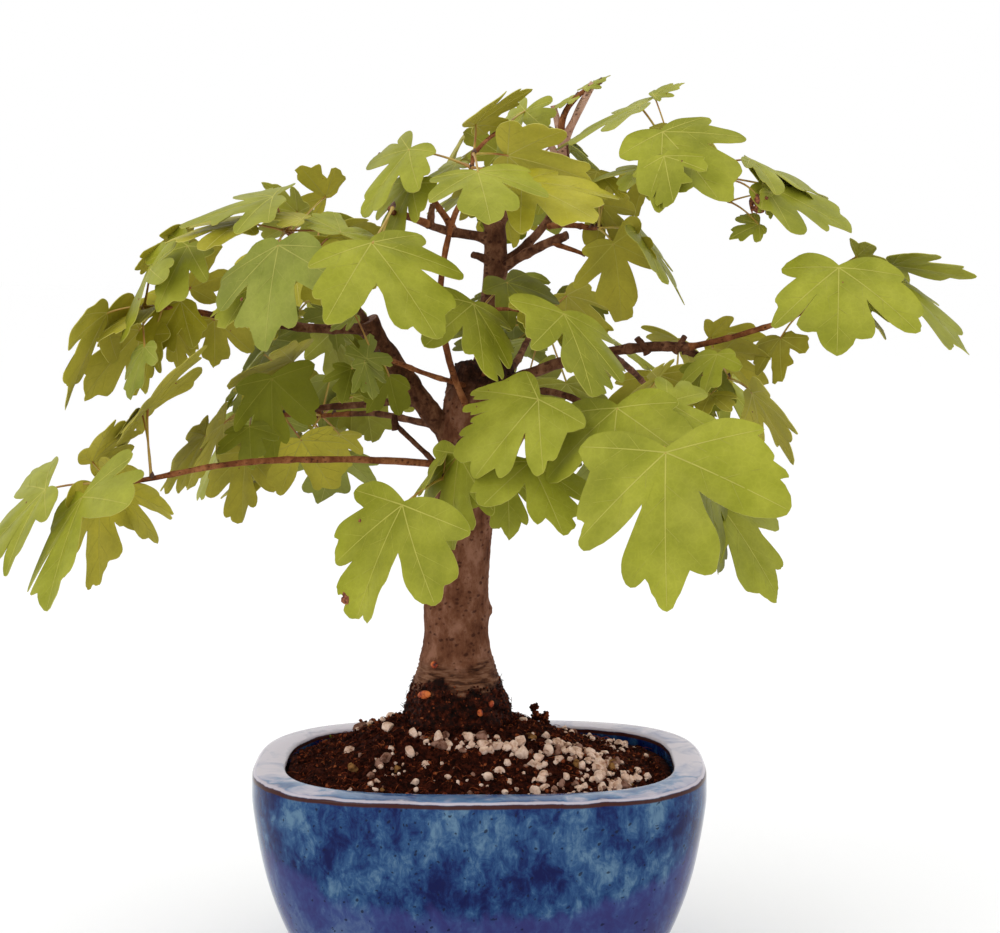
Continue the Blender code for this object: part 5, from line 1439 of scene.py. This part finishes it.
def blade_shell(blade, edge, rings):
    """Points, faces and finishes of a thin closed blade in rings round its hub."""
    count = len(edge)
    spots = [np.array([BLADE_HUB])]
    spots.extend(np.array(BLADE_HUB) + (edge - BLADE_HUB) * ring for ring in rings)
    flat = np.concatenate(spots)
    upper = blade.lie(flat)
    lower = upper - blade.axes[2] * BLADE_THICK
    faces, marks = [], []
    for i in range(count):
        j = (i + 1) % count
        fan = [(0, 1 + i, 1 + j)]
        for ring in range(len(rings) - 1):
            start = 1 + ring * count
            fan.append((start + i, start + count + i, start + count + j, start + j))
        for face in fan:
            faces.append(face)
            marks.append(0)
            faces.append(tuple(len(flat) + k for k in reversed(face)))
            marks.append(1)
        start = 1 + (len(rings) - 1) * count
        faces.append((start + i, start + i + len(flat), start + j + len(flat), start + j))
        marks.append(2)
    blade.facets = BVHTree.FromPolygons([tuple(spot) for spot in upper],
                                        [face for face, mark in zip(faces, marks) if mark == 0])
    return np.concatenate([upper, lower]), faces, marks


def rib_strip(blade, rib, wide, thin, rise, steps):
    """A rib that stands a little proud of both faces of the blade and tapers to its end."""
    foot, tip = rib
    t = np.linspace(0, 1, steps + 1)[:, None]
    spots = foot + (tip - foot) * t
    sideways = np.array(((tip - foot)[1], -(tip - foot)[0])) / np.linalg.norm(tip - foot)
    half = (wide + (thin - wide) * t) / 2 / (blade.leaf.long * MM) * sideways
    left, right, up = blade.lie_on(spots - half), blade.lie_on(spots + half), blade.axes[2]
    rows = np.stack([left + up * rise, right + up * rise, right - up * (BLADE_THICK + rise),
                     left - up * (BLADE_THICK + rise)], axis=1)
    faces = []
    for step in range(steps):
        for i in range(4):
            j = (i + 1) % 4
            faces.append((4 * step + i, 4 * step + j, 4 * step + 4 + j, 4 * step + 4 + i))
    faces.append((3, 2, 1, 0))
    faces.append((4 * steps, 4 * steps + 1, 4 * steps + 2, 4 * steps + 3))
    return rows.reshape(-1, 3), faces


def brown_patch(blade, x, y, wide, rng):
    """A dead patch on a blade, an uneven lens that shows on both of its faces."""
    turns = np.arange(9) * math.tau / 9
    reach = wide / 2 * np.array([rng.uniform(0.6, 1.15) for _ in turns])
    ring = np.stack([x + reach * np.cos(turns), y + reach * np.sin(turns)], axis=1)
    over = np.concatenate([blade.lie([(x, y)], 0.16 * MM), blade.lie(ring, 0.07 * MM)])
    under = np.concatenate([blade.lie([(x, y)], -BLADE_THICK - 0.16 * MM),
                            blade.lie(ring, -BLADE_THICK - 0.07 * MM)])
    faces = []
    for i in range(9):
        j = (i + 1) % 9
        faces.extend([(0, 1 + i, 1 + j), (10, 11 + j, 11 + i), (1 + i, 11 + i, 11 + j, 1 + j)])
    return np.concatenate([over, under]), faces


leaf_heaps = {tint: Heap() for tint in TINTS}
blemishes = Heap()
petioles = Heap()
twigs = Heap()
buds = Heap()
for sprig in sprigs:
    rng = random.Random(sprig.mass.seed + 500)
    stem = [sprig.seat, *bend(sprig.neck, sprig.pull, sprig.joints[STEM_STEPS - 1], 12)]
    thin = by_name[sprig.mass.grows_from].thin * MM
    twigs.put(*woody_tube(stem, thin * 1.05, 0.85 * MM, 8, 0.0, 0.2 * MM))
    for start, end in sprig.twigs:
        beyond = (end - start).normalized() * 0.6 * MM
        path = bend(start - beyond, (start + end) / 2 + Vector((0, 0, 1.5 * MM)), end + beyond, 8)
        twigs.put(*woody_tube(path, 0.95 * MM, 0.7 * MM, 7, 0.2, 0.16 * MM))
    for joint in sprig.joints:
        buds.put(*tube([joint - Vector((0, 0, 0.6)) * MM, joint, joint + Vector((0.4, 0, 1.4)) * MM,
                        joint + Vector((0.6, 0, 2.6)) * MM], [0.7 * MM, 1.15 * MM, 1.0 * MM, 0.15 * MM], 6))
    for leaf, foot, _ in sprig.leaves:
        large = leaf.long >= LARGE_LEAF
        edge, lobes = leaf_edge(leaf, rng, 3 if leaf.long >= FINE_LEAF else 2 if large else 1)
        main_ribs, side_ribs = rib_lines(edge, lobes)
        blade = Blade(leaf, rng, main_ribs)
        rings = (0.22, 0.45, 0.66, 0.84, 1.0) if large else (0.4, 0.75, 1.0)
        heap = leaf_heaps[leaf.tint]
        heap.put(*blade_shell(blade, edge, rings))
        wide = 0.30 * MM + 0.005 * leaf.long * MM
        for rib in main_ribs:
            heap.put(*rib_strip(blade, rib, wide, 0.20 * MM, RIB_RISE, 8 if large else 4), 2)
        for rib in side_ribs if large else ():
            heap.put(*rib_strip(blade, rib, wide * 0.55, 0.12 * MM, SIDE_RIB_RISE, 3), 3)
        patches = list(leaf.patches)
        if rng.random() < SPOT_SHARE:
            patches.append((rng.uniform(-0.35, 0.35), rng.uniform(0.2, 0.6), rng.uniform(0.015, 0.04)))
        for x, y, size in patches:
            blemishes.put(*brown_patch(blade, x, y, size, rng))
        base = Vector(blade.lie([(0.0, 0.03)], -BLADE_THICK / 2)[0])
        gap = (base - foot).length
        bow = Vector((rng.uniform(-0.05, 0.05), rng.uniform(-0.05, 0.05), rng.uniform(0.03, 0.12))) * gap
        path = bend(foot, (foot + base) / 2 + bow, base, 9)
        radii = np.interp(np.linspace(0, 1, 10), (0, 0.1, 0.5, 0.92, 1), (1.0, 0.62, 0.5, 0.48, 0.62)) * MM
        petioles.put(*tube(path, radii * min(1.0, 0.6 + leaf.long / 90), 6))


def leaf_finish(name, colour, pale, roughness):
    """A leaf face: one base colour in paler clouds and darker patches, and its vein net."""
    finish, shader, place = start_finish(name, colour, roughness, Specular_IOR_Level=0.16)
    cloudy = add_node(finish, "ShaderNodeTexNoise", {"Vector": place, "Scale": 60.0, "Detail": 6.0,
                                                     "Roughness": 0.6})
    share = add_node(finish, "ShaderNodeMapRange", {"Value": cloudy, "From Min": 0.36, "From Max": 0.66})
    mixed = add_node(finish, "ShaderNodeMixRGB", {"Fac": share, "Color1": linear(colour),
                                                  "Color2": linear(pale)})
    patches = add_node(finish, "ShaderNodeTexNoise", {"Vector": place, "Scale": 26.0, "Detail": 3.0})
    depth = add_node(finish, "ShaderNodeMapRange", {"Value": patches, "From Min": 0.36, "From Max": 0.62,
                                                    "To Min": 0.80, "To Max": 1.08})
    net = add_node(finish, "ShaderNodeTexVoronoi", {"Vector": place, "Scale": 380.0},
                   feature="DISTANCE_TO_EDGE")
    threads = add_node(finish, "ShaderNodeMapRange", {"Value": net, "From Min": 0.02, "From Max": 0.14,
                                                      "To Min": 1.06, "To Max": 1.0})
    tone = add_node(finish, "ShaderNodeMath", {0: depth, 1: threads}, operation="MULTIPLY")
    toned = add_node(finish, "ShaderNodeMixRGB", {"Fac": 1.0, "Color1": mixed, "Color2": tone},
                     blend_type="MULTIPLY")
    grain = add_node(finish, "ShaderNodeTexNoise", {"Vector": place, "Scale": 700.0, "Detail": 2.0})
    relief = add_node(finish, "ShaderNodeBump", {"Strength": 0.10, "Distance": 0.0002, "Height": grain})
    plug_in(finish, shader, Base_Color=toned, Normal=relief)
    return finish


def rib_finish(name, colour):
    """Ribs and edges of a leaf: smooth, paler than the blade, a little uneven."""
    finish, shader, place = start_finish(name, colour, 0.55, Specular_IOR_Level=0.15)
    uneven = add_node(finish, "ShaderNodeTexNoise", {"Vector": place, "Scale": 120.0, "Detail": 2.0})
    dim = add_node(finish, "ShaderNodeMapRange", {"Value": uneven, "From Min": 0.3, "From Max": 0.6,
                                                  "To Min": 0.84, "To Max": 1.0})
    toned = add_node(finish, "ShaderNodeMixRGB", {"Fac": 1.0, "Color1": linear(colour), "Color2": dim},
                     blend_type="MULTIPLY")
    plug_in(finish, shader, Base_Color=toned)
    return finish


# Living maple leaves: a satin wax bloom above, matt below. The net of fine veins
# has cells 2 to 3 mm across and is a little paler than the face.
masses_named = [mass.name for mass in MASSES]
# The yellow and olive backs carry painted light shining through the leaf, and the dark leaves carry painted
# shade.
for tint, heap in leaf_heaps.items():
    word, upper, pale, under, rib, fine = TINTS[tint]
    faces_of_leaf = [leaf_finish("waxy_" + word + "_leaf_face", upper, pale, 0.5),
                     leaf_finish("matt_" + word + "_leaf_back", under, pale, 0.65),
                     rib_finish("smooth_" + word + "_leaf_rib", rib),
                     rib_finish("fine_" + word + "_leaf_rib", fine)]
    heap.join("leaves_" + word, faces_of_leaf, "leaves", *masses_named, smooth=42)

# One dead bud hangs shrivelled from a stalk at the upper right: a ragged lump
# with three curled scales, dry and brown.
DEAD_BUD = Vector((121, -48, 363)) * MM
# The lumps it is made of, in mm: how high each lies, how wide and how tall it is.
BUD_LUMPS = ((1.2, 3.6, 3.2), (-1.6, 3.0, 3.0), (3.6, 1.8, 1.8))
BUD_SCALES = (0.4, 2.3, 4.4)
bud_rng = random.Random(3)
for high, wide, tall in BUD_LUMPS:
    shape = broken_lump(grain_lump, bud_rng, 7, (0.45, 0.8)) * np.array((wide, wide, tall)) * MM
    blemishes.put(shape + np.array(DEAD_BUD + Vector((0, 0, high * MM))), grain_lump_faces)
for turn in BUD_SCALES:
    way = Vector((math.cos(turn), math.sin(turn), 0)) * MM
    top = DEAD_BUD + way * 1.6 + Vector((0, 0, 3.5 * MM))
    blemishes.put(*tube(bend(top, top + way * 3.4, DEAD_BUD + way * 3.6 - Vector((0, 0, 3.6 * MM)), 6),
                        np.array((0.5, 1.1, 1.5, 1.4, 1.1, 0.7, 0.2)) * MM, 5))
petioles.put(*tube(bend(DEAD_BUD + Vector((-13, 8, 11)) * MM, DEAD_BUD + Vector((-5, 3, 11)) * MM,
                        DEAD_BUD + Vector((0, 0, 3)) * MM, 8), [0.45 * MM] * 9, 6))

# Dead patches: dry red brown skin where insects or drips have scorched a blade.
scorch, shader, place = start_finish("scorched_leaf_patch", "7a3a22", 0.8)
tone = add_node(scorch, "ShaderNodeTexNoise", {"Vector": place, "Scale": 900.0, "Detail": 3.0})
scorch_colour = add_node(scorch, "ShaderNodeValToRGB", {"Fac": tone}, stops=(
    (0.38, "52200f"), (0.62, "9a5a33")))
plug_in(scorch, shader, Base_Color=scorch_colour)
blemishes.join("leaf_patches", [scorch], "leaves", *masses_named)

# Stalks: smooth, dull yellow, and orange brown in places.
stalk_skin, shader, place = start_finish("smooth_leaf_stalk", "a8903c", 0.45)
tone = add_node(stalk_skin, "ShaderNodeTexNoise", {"Vector": place, "Scale": 60.0, "Detail": 3.0})
stalk_colour = add_node(stalk_skin, "ShaderNodeValToRGB", {"Fac": tone}, stops=(
    (0.36, "96602a"), (0.48, "b18a3a"), (0.62, "bba548")))
plug_in(stalk_skin, shader, Base_Color=stalk_colour)
petioles.join("leaf_stalks", [stalk_skin], "leaves", *masses_named)
twigs.join("leafy_twigs", [shoot_bark], "young_bark", *masses_named)

# Buds: short and pointed, with brown scales, one at each joint of a twig.
bud_scale, shader, place = start_finish("brown_bud_scale", "4a2c1d", 0.6)
tone = add_node(bud_scale, "ShaderNodeTexNoise", {"Vector": place, "Scale": 700.0})
bud_colour = add_node(bud_scale, "ShaderNodeValToRGB", {"Fac": tone}, stops=(
    (0.36, "331b12"), (0.64, "6b4530")))
plug_in(bud_scale, shader, Base_Color=bud_colour)
buds.join("twig_buds", [bud_scale], "young_bark", *masses_named)

# The stage: a plain white floor under soft studio light, seen by a camera that
# stands a metre in front and looks down a little, as the photograph was taken.
CAMERA_PLACE = (9.4 * MM, -1.0, 354.7 * MM)
CAMERA_DOWN = 6.3
CAMERA_LENS = 78.84
FLOOR_HALF = 12.0
bpy.ops.object.select_all(action="DESELECT")
bpy.ops.mesh.primitive_plane_add(size=2 * FLOOR_HALF, location=(0, 0, 0))
floor = bpy.context.object
floor.name = "studio_floor"
bpy.ops.object.transform_apply(location=True, rotation=False, scale=False)
paper, shader, place = start_finish("white_studio_paper", "ffffff", 1.0)
grain = add_node(paper, "ShaderNodeTexNoise", {"Vector": place, "Scale": 900.0})
tooth = add_node(paper, "ShaderNodeBump", {"Strength": 0.02, "Distance": 0.0002, "Height": grain})
plug_in(paper, shader, Normal=tooth)
floor.data.materials.append(paper)

world = bpy.data.worlds.new("white_studio")
world.use_nodes = True
world.node_tree.nodes["Background"].inputs["Color"].default_value = (1.0, 1.0, 1.0, 1.0)
world.node_tree.nodes["Background"].inputs["Strength"].default_value = 1.0
bpy.context.scene.world = world

# Soft boxes: name, place, size and power. Both are turned to the tree's middle.
LIGHTS_AIM = Vector((0, 0, 250 * MM))
SOFT_BOXES = (("key_left", (-1.1, -1.2, 1.5), 0.9, 5.5), ("top", (0.1, 0.3, 1.7), 1.2, 2.0))
for name, place, size, power in SOFT_BOXES:
    bpy.ops.object.light_add(type="AREA", location=place)
    box = bpy.context.object
    box.name = name
    box.data.size = size
    box.data.energy = power
    box.rotation_euler = (LIGHTS_AIM - Vector(place)).to_track_quat("-Z", "Y").to_euler()

bpy.ops.object.camera_add(location=CAMERA_PLACE, rotation=(math.radians(90 - CAMERA_DOWN), 0, 0))
camera = bpy.context.object
camera.data.lens = CAMERA_LENS
camera.data.sensor_width = 36.0
bpy.context.scene.camera = camera
# Plain colours with no film curve, so that the white surround comes out white.
bpy.context.scene.view_settings.view_transform = "Standard"
